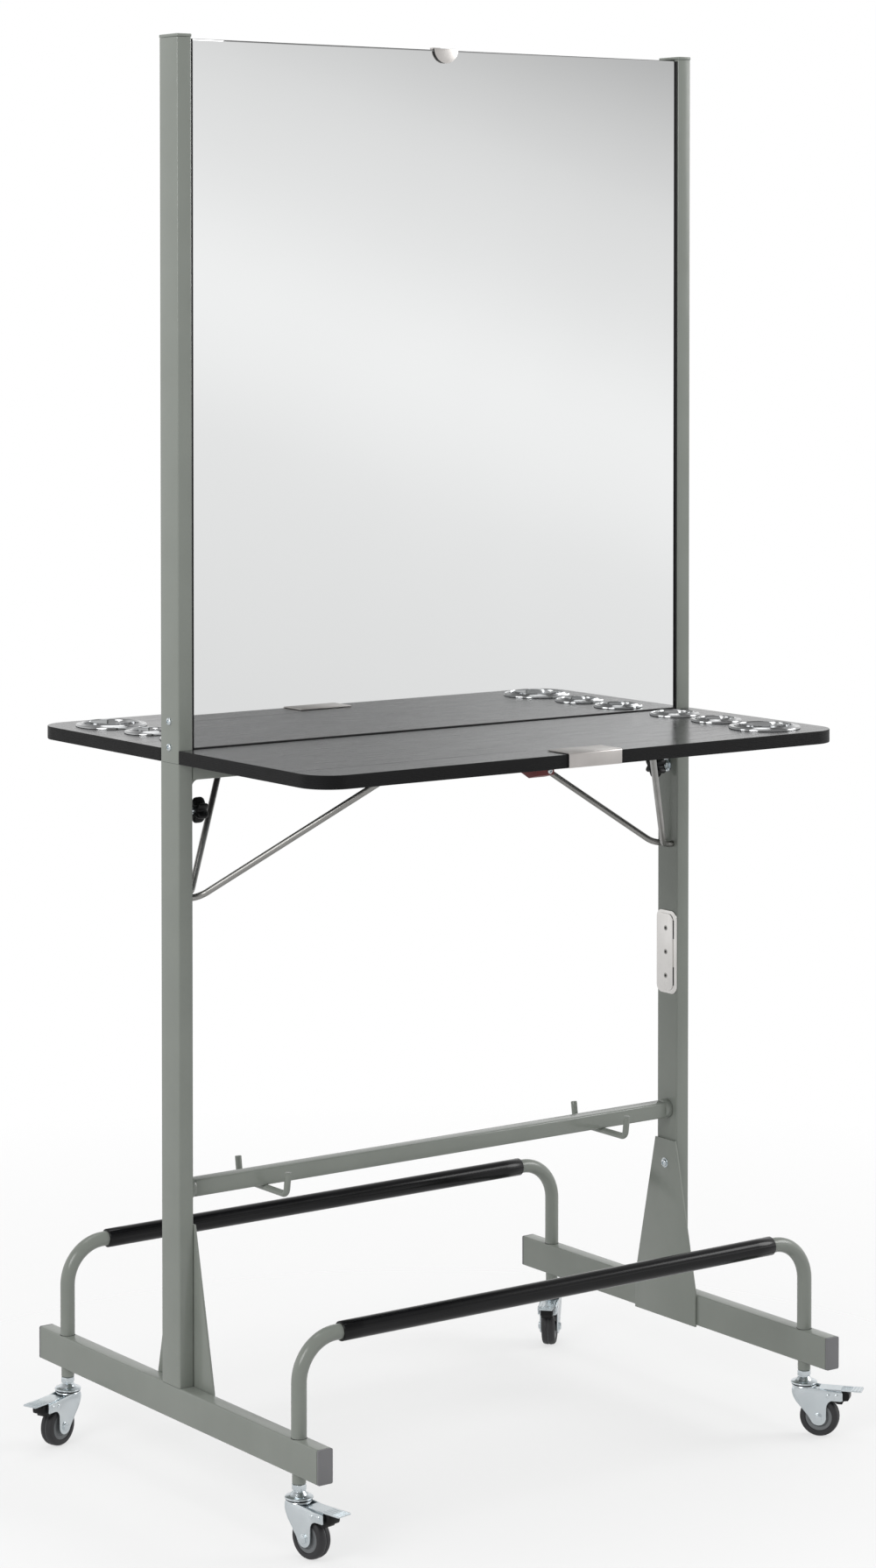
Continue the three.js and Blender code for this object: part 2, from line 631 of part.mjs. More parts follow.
// Ring: a rolled rim that stands on the leaf, and a sleeve down through the hole
function ring(face, { name, across, y }) {
  const rim = across / 2;
  const bore = rim - RING_RIM;
  const seat = TABLE_HEIGHT + GAP;
  const top = TABLE_HEIGHT + RING_RISE;
  const half = (seat + top) / 2;
  const profile = [
    [sleeveRadius(across), LEAF_UNDER],
    [sleeveRadius(across), seat],
    [rim - RING_RIM / 5, seat],
    [rim, half],
    [rim - RING_RIM / 5, top - RING_RISE / 6],
    [rim - RING_RIM / 2, top],
    [bore + RING_RIM / 5, top - RING_RISE / 6],
    [bore, half],
    [bore, LEAF_UNDER],
  ];
  // A quarter turn lines the facets up with those of the hole
  const body = turned(profile, RING_SIDES).rotate([0, 0, 90]).translate([RING_X, y, 0]);
  return part(`ring_${face}_${name}`, body, CHROME);
}

// Clamp plate: steel guard folded over the outer edge of the leaf, where a clamp is screwed on
function clampPlate(face) {
  const inner = -LEAF_OUTER - GAP;
  const outer = inner - CLAMP_SHEET;
  const seat = TABLE_HEIGHT + GAP;
  const top = seat + CLAMP_SHEET;
  const outline = polygon([
    [outer, LEAF_UNDER],
    [inner, LEAF_UNDER],
    [inner, seat],
    [outer + CLAMP_DEEP, seat],
    [outer + CLAMP_DEEP, top],
    [outer + CLAMP_SHEET / 2, top],
    [outer, top - CLAMP_SHEET / 2],
  ]);
  return part(`clamp_plate_${face}`, extrude(outline, 'x', -CLAMP_WIDE / 2, CLAMP_WIDE / 2), BRUSHED_STEEL);
}

// Leaf half of the hinge: a strap under the leaf and bored knuckles round the rail's pin
function hingeStrap(face) {
  const top = LEAF_UNDER - GAP;
  const half = HINGE_LENGTH / 2;
  const strapLow = [-half, -HINGE_Y - HINGE_STRAP, top - HINGE_SHEET];
  const strapHigh = [half, -HINGE_Y - KNUCKLE_RADIUS - KNUCKLE_PLAY, top];
  let body = box(strapLow, strapHigh);
  for (let i = 0; i < HINGE_KNUCKLES; i += 2) {
    const [from, to] = knuckleSpan(i);
    const webLow = [from, -HINGE_Y - KNUCKLE_RADIUS - 1, HINGE_Z];
    const webHigh = [to, -HINGE_Y, Math.min(top, HINGE_Z + KNUCKLE_RADIUS)];
    body = body.add(cylinder('x', -HINGE_Y, HINGE_Z, KNUCKLE_RADIUS, from, to)).add(box(webLow, webHigh));
  }
  const bore = HINGE_PIN_RADIUS + GAP;
  body = body.subtract(cylinder('x', -HINGE_Y, HINGE_Z, bore, -half - 1, half + 1));
  return part(`hinge_strap_${face}`, body, ZINC);
}

// Bail: one bent rod, pinned in both posts, whose bar carries the leaf
function bail(face) {
  const pinEnd = INNER_X + BAIL_PIN_INSIDE;
  const legX = INNER_X - BAIL_STANDOFF;
  const barX = BAIL_BAR_LENGTH / 2;
  const corners = [
    [-pinEnd, -BAIL_PIN_OUT, BAIL_PIN_Z],
    [-legX, -BAIL_PIN_OUT, BAIL_PIN_Z],
    [-barX, -BAIL_BAR_OUT, BAIL_BAR_Z],
    [barX, -BAIL_BAR_OUT, BAIL_BAR_Z],
    [legX, -BAIL_PIN_OUT, BAIL_PIN_Z],
    [pinEnd, -BAIL_PIN_OUT, BAIL_PIN_Z],
  ];
  return part(`bail_${face}`, sweep(disc(0, 0, BAIL_ROD / 2), corners, BAIL_BEND, ROD_SIDES), ZINC);
}

// Where the bail's bar lies in the leaf's own frame, out from the hinge and up, when the leaf has folded
// by part of its quarter turn and the bail by the same part of its swing to hanging straight down
function barInLeaf(share) {
  const out = BAIL_BAR_OUT - BAIL_PIN_OUT;
  const up = BAIL_BAR_Z - BAIL_PIN_Z;
  const reach = Math.hypot(out, up);
  const lean = Math.atan2(out, up);
  const swung = lean + share * (Math.PI - lean);
  const y = BAIL_PIN_OUT + reach * Math.sin(swung) - HINGE_Y;
  const z = BAIL_PIN_Z + reach * Math.cos(swung) - HINGE_Z;
  const fold = (share * Math.PI) / 2;
  return { out: y * Math.cos(fold) - z * Math.sin(fold), up: y * Math.sin(fold) + z * Math.cos(fold) };
}

// Catch: a block under the leaf with a seat for the bar and a ramp along the bar's way out
function bailCatch(face) {
  const seat = barInLeaf(0);
  const away = barInLeaf(1 / 6);
  const slope = Math.atan2(away.up - seat.up, away.out - seat.out);
  const radius = BAIL_ROD / 2 + CATCH_PLAY;
  const inner = seat.out - CATCH_BEHIND;
  const outer = seat.out + CATCH_AHEAD;
  const top = HINGE_DROP - GAP;
  const rampStart = slope + Math.PI / 2;
  const wrapEnd = Math.PI - slope;
  const rampOut = seat.out + radius * Math.cos(rampStart);
  const rampUp = seat.up + radius * Math.sin(rampStart);
  const toe = outer - CATCH_TOE;
  const toeUp = rampUp + (toe - rampOut) * Math.tan(slope);
  const points = [
    [inner, top],
    [inner, seat.up + radius * Math.sin(wrapEnd)],
  ];
  for (let i = 0; i <= BEND_STEPS; i += 1) {
    const angle = wrapEnd + ((rampStart - wrapEnd) * i) / BEND_STEPS;
    points.push([seat.out + radius * Math.cos(angle), seat.up + radius * Math.sin(angle)]);
  }
  points.push([toe, toeUp], [outer, toeUp + CATCH_TOE / 4], [outer, top]);
  const outline = polygon(points.map(([out, up]) => [-HINGE_Y - out, HINGE_Z + up]));
  const side = CATCH_ASIDE - CATCH_WIDE / 2;
  return part(`catch_${face}`, extrude(outline, 'x', side, side + CATCH_WIDE), RED_PLASTIC);
}

// Clamp knob: a lobed head on a hub, with a stud through the post that presses on the spigot
function knob(side) {
  const z = SEAM - KNOB_DROP;
  const outline = [];
  const steps = 8 * KNOB_LOBES;
  for (let i = 0; i < steps; i += 1) {
    const angle = (2 * Math.PI * i) / steps;
    const radius = KNOB_ACROSS / 2 - (KNOB_LOBE_DEPTH * (1 + Math.cos(KNOB_LOBES * angle))) / 2;
    outline.push([radius * Math.cos(angle), z + radius * Math.sin(angle)]);
  }
  const back = INNER_X - KNOB_OFF;
  const front = back - KNOB_LENGTH;
  const rim = KNOB_ACROSS / 2;
  const dome = turned([
    [0, 0],
    [rim - KNOB_BEVEL, 0],
    [rim, KNOB_BEVEL],
    [rim, KNOB_LENGTH - KNOB_BEVEL],
    [rim - KNOB_BEVEL, KNOB_LENGTH],
    [0, KNOB_LENGTH],
  ], 8 * KNOB_LOBES).rotate([0, 90, 0]).translate([front, 0, z]);
  const body = extrude(polygon(outline), 'x', front - 1, back + 1)
    .intersect(dome)
    .add(cylinder('x', 0, z, KNOB_HUB_RADIUS, back - KNOB_BEVEL, INNER_X - GAP))
    .add(cylinder('x', 0, z, KNOB_STUD_RADIUS, back, INNER_X + TUBE_WALL));
  return part(`knob_${side}`, body, BLACK_PLASTIC);
}

// Accessory plate: a slotted steel plate on the inner face of the right post
function accessoryPlate() {
  const back = INNER_X - GAP;
  const front = back - PLATE_SHEET;
  let body = extrude(roundedRect(PLATE_WIDE, PLATE_HIGH, PLATE_ROUND, 0, PLATE_HEIGHT), 'x', front, back);
  for (const end of [-1, 1]) {
    const z = PLATE_HEIGHT + (end * SLIT_PITCH) / 2;
    const low = [front - 1, -SLIT_OUT - SLIT_WIDE / 2, z - SLIT_HIGH / 2];
    const high = [back + 1, -SLIT_OUT + SLIT_WIDE / 2, z + SLIT_HIGH / 2];
    body = body.subtract(box(low, high));
  }
  return part('accessory_plate', body, BRUSHED_STEEL);
}

// Castor stem: plug in the footrest leg, hex nut and the upper race of the swivel
function castorStem(corner) {
  const plugRadius = FOOTREST_TUBE / 2 - FOOTREST_WALL - GAP;
  const nutTop = RACE_TOP + NUT_HEIGHT;
  const raceBottom = FORK_TOP + GAP;
  const profile = [
    [0, raceBottom],
    [RACE_RADIUS - 1, raceBottom],
    [RACE_RADIUS, raceBottom + 1],
    [RACE_RADIUS, raceBottom + RACE_HEIGHT / 2],
    [NUT_ACROSS / 2, RACE_TOP],
    [plugRadius, RACE_TOP + 1],
    [plugRadius, nutTop + STEM_LENGTH],
    [0, nutTop + STEM_LENGTH],
  ];
  const nut = cylinder('z', 0, 0, NUT_ACROSS / 2, RACE_TOP - 1, nutTop, 6);
  return part(`castor_stem_${corner}`, turned(profile, TUBE_SIDES).add(nut), ZINC);
}

// Outline of a fork cheek, in the castor's heading and height: crown, brake ear and axle boss
function cheekOutline() {
  const crown = RACE_RADIUS - 2;
  const pivotOut = TRAIL + PEDAL_PIVOT_OUT;
  const pivotUp = AXLE_HEIGHT + PEDAL_PIVOT_UP;
  const earTip = pivotOut + EAR_LENGTH;
  const earUnder = pivotUp - EAR_DROP;
  const boss = new THREE.Shape();
  boss.moveTo(crown, FORK_TOP);
  boss.lineTo(-crown, FORK_TOP);
  boss.lineTo(-crown, FORK_TOP - crown);
  boss.absarc(TRAIL, AXLE_HEIGHT, FORK_BOSS, 1.2 * Math.PI, 2 * Math.PI);
  boss.lineTo(TRAIL + FORK_BOSS, earUnder);
  boss.lineTo(earTip, earUnder);
  boss.lineTo(earTip, pivotUp + PEDAL_RISE - 1);
  return boss;
}

// Castor fork: folded sheet with a flat crown, two cheeks and the axle bolt
function castorFork(corner) {
  const inner = WHEEL_WIDE / 2 + FORK_ROOM;
  const outer = inner + FORK_SHEET;
  const head = outer + AXLE_HEAD;
  // The outline is drawn ahead and up, so the extrusion runs from the right side to the left
  const sideways = new THREE.Matrix4().makeBasis(UNIT.x, UNIT.z, UNIT.y.clone().negate());
  const settings = { depth: FORK_SHEET, bevelEnabled: false, curveSegments: BEND_STEPS / 2 };
  const cheek = solid(new THREE.ExtrudeGeometry(cheekOutline(), settings).applyMatrix4(sideways));
  const crown = RACE_RADIUS - 2;
  const body = cheek.translate([0, -inner, 0])
    .add(cheek.translate([0, outer, 0]))
    .add(box([-crown, -outer, FORK_TOP - FORK_SHEET], [crown, outer, FORK_TOP]))
    .add(cylinder('y', AXLE_HEIGHT, TRAIL, AXLE_RADIUS, -head, head))
    .add(cylinder('y', AXLE_HEIGHT, TRAIL, AXLE_HEAD_RADIUS, -head, -outer + 1, 6))
    .add(cylinder('y', AXLE_HEIGHT, TRAIL, AXLE_HEAD_RADIUS, outer - 1, head, 6));
  return part(`castor_fork_${corner}`, body, ZINC);
}

// Castor wheel: rubber tyre with a groove round the tread, on a recessed hub
function castorWheel(corner) {
  const half = WHEEL_WIDE / 2;
  const bore = AXLE_RADIUS + GAP;
  const web = half - HUB_RECESS;
  const side = [
    [WHEEL_RADIUS - WHEEL_GROOVE, 0],
    [WHEEL_RADIUS, half / 9],
    [WHEEL_RADIUS, half * 0.6],
    [WHEEL_RADIUS - half / 4, half],
    [HUB_RADIUS, half],
    [HUB_RADIUS - HUB_RECESS, web],
    [AXLE_HEAD_RADIUS, web],
    [AXLE_HEAD_RADIUS, half + FORK_ROOM - GAP],
    [bore, half + FORK_ROOM - GAP],
  ];
  const mirrored = side.slice(1).reverse().map(([radius, across]) => [radius, -across]);
  // Half a facet of turn puts a flat on the floor
  const body = turned([...side, ...mirrored], WHEEL_SIDES)
    .rotate([0, 0, 180 / WHEEL_SIDES])
    .rotate([90, 0, 0])
    .translate([TRAIL, 0, AXLE_HEIGHT]);
  return part(`castor_wheel_${corner}`, body, RUBBER);
}

// Brake pedal: a sheet lever pivoted between the cheeks, with the shoe that bears on the tread
function brakePedal(corner) {
  const pivotOut = TRAIL + PEDAL_PIVOT_OUT;
  const pivotUp = AXLE_HEIGHT + PEDAL_PIVOT_UP;
  const half = PEDAL_WIDE / 2;
  const plateUnder = pivotUp + PEDAL_RISE;
  const shoeHalf = WHEEL_WIDE / 2 - HUB_RECESS;
  const shoeFace = WHEEL_RADIUS + SHOE_ROOM;
  // The shoe's face is square to the line from the axle to its middle
  const shoeAngle = Math.atan2(PEDAL_PIVOT_UP, PEDAL_PIVOT_OUT + SHOE_LENGTH / 2) - 0.05;
  const touch = [TRAIL + shoeFace * Math.cos(shoeAngle), AXLE_HEIGHT + shoeFace * Math.sin(shoeAngle)];
  const along = [Math.sin(shoeAngle), -Math.cos(shoeAngle)];
  const slide = (distance) => touch.map((value, i) => value + distance * along[i]);
  const toe = slide(SHOE_LENGTH / 2);
  const heel = [toe[0] + SHOE_HEEL, toe[1]];
  const shoe = polygon([
    [plateUnder + 1, pivotOut - half / 3],
    slide(-SHOE_LENGTH / 2).reverse(),
    toe.slice().reverse(),
    heel.slice().reverse(),
    [plateUnder + 1, heel[0]],
  ]);
  const body = box([TRAIL, -half, plateUnder], [PEDAL_REACH, half, plateUnder + PEDAL_SHEET])
    .add(extrude(shoe, 'y', -shoeHalf, shoeHalf))
    .add(cylinder('y', pivotUp, pivotOut, PEDAL_SHEET + 1, -half, half));
  return part(`brake_pedal_${corner}`, body, ZINC);
}

function castor(corner, x, y, heading) {
  const group = new THREE.Group();
  group.add(castorStem(corner), castorFork(corner), castorWheel(corner), brakePedal(corner));
  group.position.set(x, y, 0);
  group.rotation.z = THREE.MathUtils.degToRad(heading);
  return group;
}

// One half of the station: the post, foot and knob of one side and the leaf and footrest of one face
function half(face, otherFace, side) {
  const group = new THREE.Group();
  group.add(foot(side), footCap(side, face, -1), footCap(side, otherFace, 1));
  group.add(lowerPost(side), upperPost(side), postCap(side), gusset(side), knob(side));
  group.add(footrest(face), footrestSleeve(face), mirrorPane(face));
  group.add(leaf(face), ...RINGS.map((one) => ring(face, one)));
  group.add(clampPlate(face), hingeStrap(face), bailCatch(face), bail(face));
  return group;
}

const station = new THREE.Group();
const frontHalf = half('front', 'rear', 'right');
const rearHalf = half('rear', 'front', 'left');
rearHalf.rotation.z = Math.PI;
station.add(frontHalf, rearHalf);
station.add(tableRail(), hookRail(), mirrorSill(), mirrorCore(), mirrorClip(), accessoryPlate());

// Which way each castor trails, in degrees from +X
const castorY = FOOTREST_PITCH / 2;
station.add(castor('front_left', -POST_X, -castorY, -80));
station.add(castor('front_right', POST_X, -castorY, -52));
station.add(castor('rear_left', -POST_X, castorY, 200));
station.add(castor('rear_right', POST_X, castorY, 225));

export default station;
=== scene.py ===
import math

import bmesh
import bpy
from mathutils import Matrix, Vector


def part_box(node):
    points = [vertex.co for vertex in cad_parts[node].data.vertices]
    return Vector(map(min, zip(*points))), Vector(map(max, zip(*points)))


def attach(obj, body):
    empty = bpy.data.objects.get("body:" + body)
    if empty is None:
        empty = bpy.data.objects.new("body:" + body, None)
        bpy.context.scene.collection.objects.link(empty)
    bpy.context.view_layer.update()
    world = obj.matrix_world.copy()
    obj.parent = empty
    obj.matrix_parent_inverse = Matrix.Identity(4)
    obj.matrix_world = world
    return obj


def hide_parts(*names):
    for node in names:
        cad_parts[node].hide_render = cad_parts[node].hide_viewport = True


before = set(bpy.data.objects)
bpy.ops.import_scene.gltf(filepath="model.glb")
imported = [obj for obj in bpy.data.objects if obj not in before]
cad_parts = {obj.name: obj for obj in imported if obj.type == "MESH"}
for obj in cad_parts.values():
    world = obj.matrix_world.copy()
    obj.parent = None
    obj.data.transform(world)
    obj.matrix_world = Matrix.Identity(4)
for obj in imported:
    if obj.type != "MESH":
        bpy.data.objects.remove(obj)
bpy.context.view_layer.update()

# Feet: two lengths of 20 x 40 mm rectangular steel tube lying front to back under the posts.
# They are powder coated sage grey, drilled for the footrest legs and closed with a pressed-in cap.
mm = 0.001
SIDES = {"left": -1, "right": 1}
FACES = {"front": -1, "rear": 1}


def srgb(red, green, blue):
    """A colour as it looks on paper, 0 to 255, turned into light."""
    share = [value / 255 for value in (red, green, blue)]
    return [c / 12.92 if c <= 0.04045 else ((c + 0.055) / 1.055) ** 2.4 for c in share] + [1]


def new_finish(name):
    """An empty finish with its shader and the coordinates of the piece."""
    finish = bpy.data.materials.new(name)
    finish.use_nodes = True
    tree = finish.node_tree
    shader = tree.nodes["Principled BSDF"]
    place = tree.nodes.new("ShaderNodeTexCoord").outputs["Object"]
    return finish, tree, shader, place


def speckle(tree, place, scale, detail=3, stretch=None):
    """Soft noise, stretched along one direction where the surface has a grain."""
    noise = tree.nodes.new("ShaderNodeTexNoise")
    noise.inputs["Scale"].default_value = scale
    noise.inputs["Detail"].default_value = detail
    if stretch:
        mapping = tree.nodes.new("ShaderNodeMapping")
        mapping.inputs["Scale"].default_value = stretch
        tree.links.new(place, mapping.inputs["Vector"])
        place = mapping.outputs["Vector"]
    tree.links.new(place, noise.inputs["Vector"])
    return noise.outputs["Fac"]


def spread(tree, source, low, high, start=0.3, stop=0.7):
    """Noise spread over a range of values."""
    ranged = tree.nodes.new("ShaderNodeMapRange")
    ranged.inputs["From Min"].default_value = start
    ranged.inputs["From Max"].default_value = stop
    ranged.inputs["To Min"].default_value = low
    ranged.inputs["To Max"].default_value = high
    tree.links.new(source, ranged.inputs["Value"])
    return ranged.outputs["Result"]


def tint(tree, source, dark, light):
    """Two tones of one colour, mixed by the noise."""
    ramp = tree.nodes.new("ShaderNodeValToRGB")
    ramp.color_ramp.elements[0].position = 0.3
    ramp.color_ramp.elements[0].color = dark
    ramp.color_ramp.elements[1].position = 0.7
    ramp.color_ramp.elements[1].color = light
    tree.links.new(source, ramp.inputs["Fac"])
    return ramp.outputs["Color"]


def relief(tree, shader, source, strength, depth):
    """Fine surface relief."""
    bump = tree.nodes.new("ShaderNodeBump")
    bump.inputs["Strength"].default_value = strength
    bump.inputs["Distance"].default_value = depth
    tree.links.new(source, bump.inputs["Height"])
    tree.links.new(bump.outputs["Normal"], shader.inputs["Normal"])


def moulded(name, dark, light, rough, grain=900, depth=0.0002, shine=0.5):
    """Painted or moulded skin: two close tones, uneven gloss and a fine orange peel."""
    finish, tree, shader, place = new_finish(name)
    shader.inputs["Specular IOR Level"].default_value = shine
    tree.links.new(tint(tree, speckle(tree, place, 14), dark, light), shader.inputs["Base Color"])
    gloss = spread(tree, speckle(tree, place, 40, 2), rough - 0.03, rough + 0.03)
    tree.links.new(gloss, shader.inputs["Roughness"])
    relief(tree, shader, speckle(tree, place, grain, 1), 0.12, depth)
    return finish


def block(bm, low, high):
    """A plain block between two corners."""
    low, high = Vector(low), Vector(high)
    cube = bmesh.ops.create_cube(bm, size=1)["verts"]
    for vert in cube:
        vert.co = Vector(low[i] + (vert.co[i] + 0.5) * (high[i] - low[i]) for i in range(3))
    return cube


def bar(bm, low, high, along, radius, segments=4):
    """A straight bar of rectangular tube with its long edges rounded."""
    cube = block(bm, low, high)
    edges = {edge for vert in cube for edge in vert.link_edges}
    long_edges = [e for e in edges if abs(e.verts[0].co[along] - e.verts[1].co[along]) > 1e-6]
    bmesh.ops.bevel(bm, geom=long_edges, offset=radius, offset_type="OFFSET", segments=segments,
                    profile=0.5, affect="EDGES", material=-1)


def add_piece(name, bm, finish, body, slot, *nodes):
    """The finished mesh becomes a piece that moves with its body and stands for its solids."""
    mesh = bpy.data.meshes.new(name)
    bm.to_mesh(mesh)
    bm.free()
    mesh.materials.append(finish)
    mesh.shade_smooth()
    mesh.set_sharp_from_angle(angle=math.radians(32))
    thing = bpy.data.objects.new(name, mesh)
    bpy.context.scene.collection.objects.link(thing)
    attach(thing, body)
    if nodes:
        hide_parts(*nodes)
    return thing


TUBE_ROUND = 2 * mm
sage_coat = moulded("sage_powder_coat", srgb(140, 145, 138), srgb(145, 150, 143), 0.2)
for side in SIDES:
    bm = bmesh.new()
    bar(bm, *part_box(f"foot_{side}"), 1, TUBE_ROUND)
    add_piece(f"foot_tube_{side}", bm, sage_coat, "frame", "powder_coat", f"foot_{side}")

# Foot caps: moulded grey plastic plates with rounded edges, pressed into the tube ends.
# Only the plate shows; the plug behind it grips the inside of the tube.
CAP_PLATE = 3 * mm
CAP_EDGE = 0.5 * mm


def soften(bm, radius, segments=3, sharper_than=40):
    """Rounds every edge that turns more sharply than the given angle."""
    edges = [e for e in bm.edges if e.is_manifold and e.calc_face_angle() > math.radians(sharper_than)]
    bmesh.ops.bevel(bm, geom=edges, offset=radius, offset_type="OFFSET", segments=segments,
                    profile=0.5, affect="EDGES", material=-1)


grey_plastic = moulded("grey_moulded_plastic", srgb(123, 123, 125), srgb(131, 131, 133), 0.46, 700)
for side in SIDES:
    for face, outward in FACES.items():
        low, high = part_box(f"foot_cap_{side}_{face}")
        if outward > 0:
            low.y = high.y - CAP_PLATE
        else:
            high.y = low.y + CAP_PLATE
        bm = bmesh.new()
        bar(bm, low, high, 1, TUBE_ROUND)
        soften(bm, CAP_EDGE)
        add_piece(f"foot_end_{side}_{face}", bm, grey_plastic, "frame", "grey_plastic", f"foot_cap_{side}_{face}")

# Lower posts: the same tube standing on the feet and welded to them, up to the seam under the leaves.
# The inner walls are drilled for the bail pins and for the stud of the clamp knob.
for side in SIDES:
    bm = bmesh.new()
    bar(bm, *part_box(f"lower_post_{side}"), 2, TUBE_ROUND)
    add_piece(f"lower_post_tube_{side}", bm, sage_coat, "frame", "powder_coat", f"lower_post_{side}")

# Gussets: tapered steel plates, coated with the frame, that tie each post to its foot.
# A button-head screw with a washer goes through near the top.
GUSSET_EDGE = 0.5 * mm
GUSSET_TOP_WIDE = 40 * mm
FOOT_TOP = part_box("foot_right")[1].z


def flat_plate(bm, outline, thickness):
    """A plate drawn as an outline and given its thickness."""
    face = bm.faces.new([bm.verts.new(point) for point in outline])
    grown = bmesh.ops.extrude_face_region(bm, geom=[face])["geom"]
    moved = [g for g in grown if isinstance(g, bmesh.types.BMVert)]
    bmesh.ops.translate(bm, verts=moved, vec=thickness)
    bmesh.ops.recalc_face_normals(bm, faces=bm.faces)


for side, sign in SIDES.items():
    low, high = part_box(f"gusset_{side}")
    outline = [(low.x, low.y, low.z), (low.x, high.y, low.z), (low.x, high.y, FOOT_TOP),
               (low.x, GUSSET_TOP_WIDE / 2, high.z), (low.x, -GUSSET_TOP_WIDE / 2, high.z),
               (low.x, low.y, FOOT_TOP)]
    bm = bmesh.new()
    flat_plate(bm, outline, (high.x - low.x, 0, 0))
    soften(bm, GUSSET_EDGE, 2)
    add_piece(f"gusset_plate_{side}", bm, sage_coat, "frame", "powder_coat", f"gusset_{side}")

# Screws: bright zinc button heads with a hex socket, on a washer where they pull on sheet.
# They hold the gussets to the posts.
def aim(centre, outward):
    """Places something that was made standing on the floor so that it stands on a wall."""
    return Matrix.Translation(centre) @ Vector(outward).to_track_quat("Z", "Y").to_matrix().to_4x4()


def turned(bm, profile, place, steps=40):
    """A profile of radius and height, turned on a lathe about its own upright axis."""
    before = set(bm.verts)
    verts = [bm.verts.new((radius, 0, height)) for radius, height in profile]
    edges = [bm.edges.new(pair) for pair in zip(verts, verts[1:])]
    bmesh.ops.spin(bm, geom=verts + edges, cent=(0, 0, 0), axis=(0, 0, 1), dvec=(0, 0, 0),
                   angle=2 * math.pi, steps=steps, use_merge=True)
    made = [v for v in bm.verts if v not in before]
    bmesh.ops.remove_doubles(bm, verts=made, dist=1e-6)
    made = [v for v in bm.verts if v not in before]
    faces = list({face for vert in made for face in vert.link_faces})
    bmesh.ops.recalc_face_normals(bm, faces=faces)
    bmesh.ops.transform(bm, matrix=place, verts=made)
    return made


def hex_prism(bm, across_corners, low, high, place, edge=0.3 * mm):
    """A nut or a bolt head with its edges broken."""
    before = set(bm.verts)
    middle = Matrix.Translation((0, 0, (low + high) / 2))
    bmesh.ops.create_cone(bm, cap_ends=True, segments=6, radius1=across_corners / 2,
                          radius2=across_corners / 2, depth=high - low, matrix=middle)
    edges = {e for v in bm.verts if v not in before for e in v.link_edges}
    bmesh.ops.bevel(bm, geom=list(edges), offset=edge, offset_type="OFFSET", segments=2,
                    profile=0.5, affect="EDGES", material=-1)
    made = [v for v in bm.verts if v not in before]
    bmesh.ops.transform(bm, matrix=place, verts=made)


def button_screw(bm, centre, outward, radius, washer=0.0):
    """A domed head with a six-sided socket, on a washer if one is asked for."""
    place = aim(centre, outward)
    seat = 0.0
    if washer:
        seat = 1.0 * mm
        turned(bm, [(0, 0), (washer, 0), (washer, seat * 0.8), (washer - seat * 0.3, seat), (0, seat)], place, 32)
    dome = [(0, seat), (radius, seat), (radius, seat + 0.25 * radius), (0.92 * radius, seat + 0.42 * radius),
            (0.75 * radius, seat + 0.54 * radius), (0.5 * radius, seat + 0.6 * radius)]
    turned(bm, dome, place, 36)
    socket = [(0.5 * radius, seat + 0.6 * radius), (0.47 * radius, seat + 0.56 * radius),
              (0.47 * radius, seat + 0.2 * radius), (0, seat + 0.14 * radius)]
    turned(bm, socket, place, 6)


def plated(name, dark, light, rough, stretch=None, depth=0.00008):
    """Plated or brushed metal: two tones, uneven gloss and faint lines of the work."""
    finish, tree, shader, place = new_finish(name)
    shader.inputs["Metallic"].default_value = 1
    tree.links.new(tint(tree, speckle(tree, place, 30), dark, light), shader.inputs["Base Color"])
    lines = speckle(tree, place, 240, 4, stretch)
    tree.links.new(spread(tree, lines, rough * 0.88, rough * 1.14), shader.inputs["Roughness"])
    relief(tree, shader, lines, 0.06, depth)
    return finish


zinc = plated("bright_zinc_plate", srgb(206, 214, 218), srgb(220, 226, 229), 0.24)
for side, sign in SIDES.items():
    inner_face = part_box(f"gusset_{side}")[0 if sign > 0 else 1].x
    bm = bmesh.new()
    button_screw(bm, (inner_face, 0, 294 * mm), (-sign, 0, 0), 4.6 * mm, washer=6.4 * mm)
    add_piece(f"gusset_screw_{side}", bm, zinc, "frame", "zinc")

# Footrests: one length of 18 mm round tube each, bent down at both ends and coated with the frame.
# The legs go down through the feet and are welded there; their open ends are the castor sockets.
FOOTREST_BEND = 50 * mm
FOOTREST_HEIGHT = 245 * mm
FOOTREST_RADIUS = 9 * mm


def edge_ring(geometry):
    return [item for item in geometry if isinstance(item, bmesh.types.BMEdge)]


def pull(bm, ring, step):
    """Pulls an open ring of edges out straight and gives the ring at the far end."""
    grown = bmesh.ops.extrude_edge_only(bm, edges=ring)["geom"]
    moved = [item for item in grown if isinstance(item, bmesh.types.BMVert)]
    bmesh.ops.translate(bm, verts=moved, vec=step)
    return edge_ring(grown)


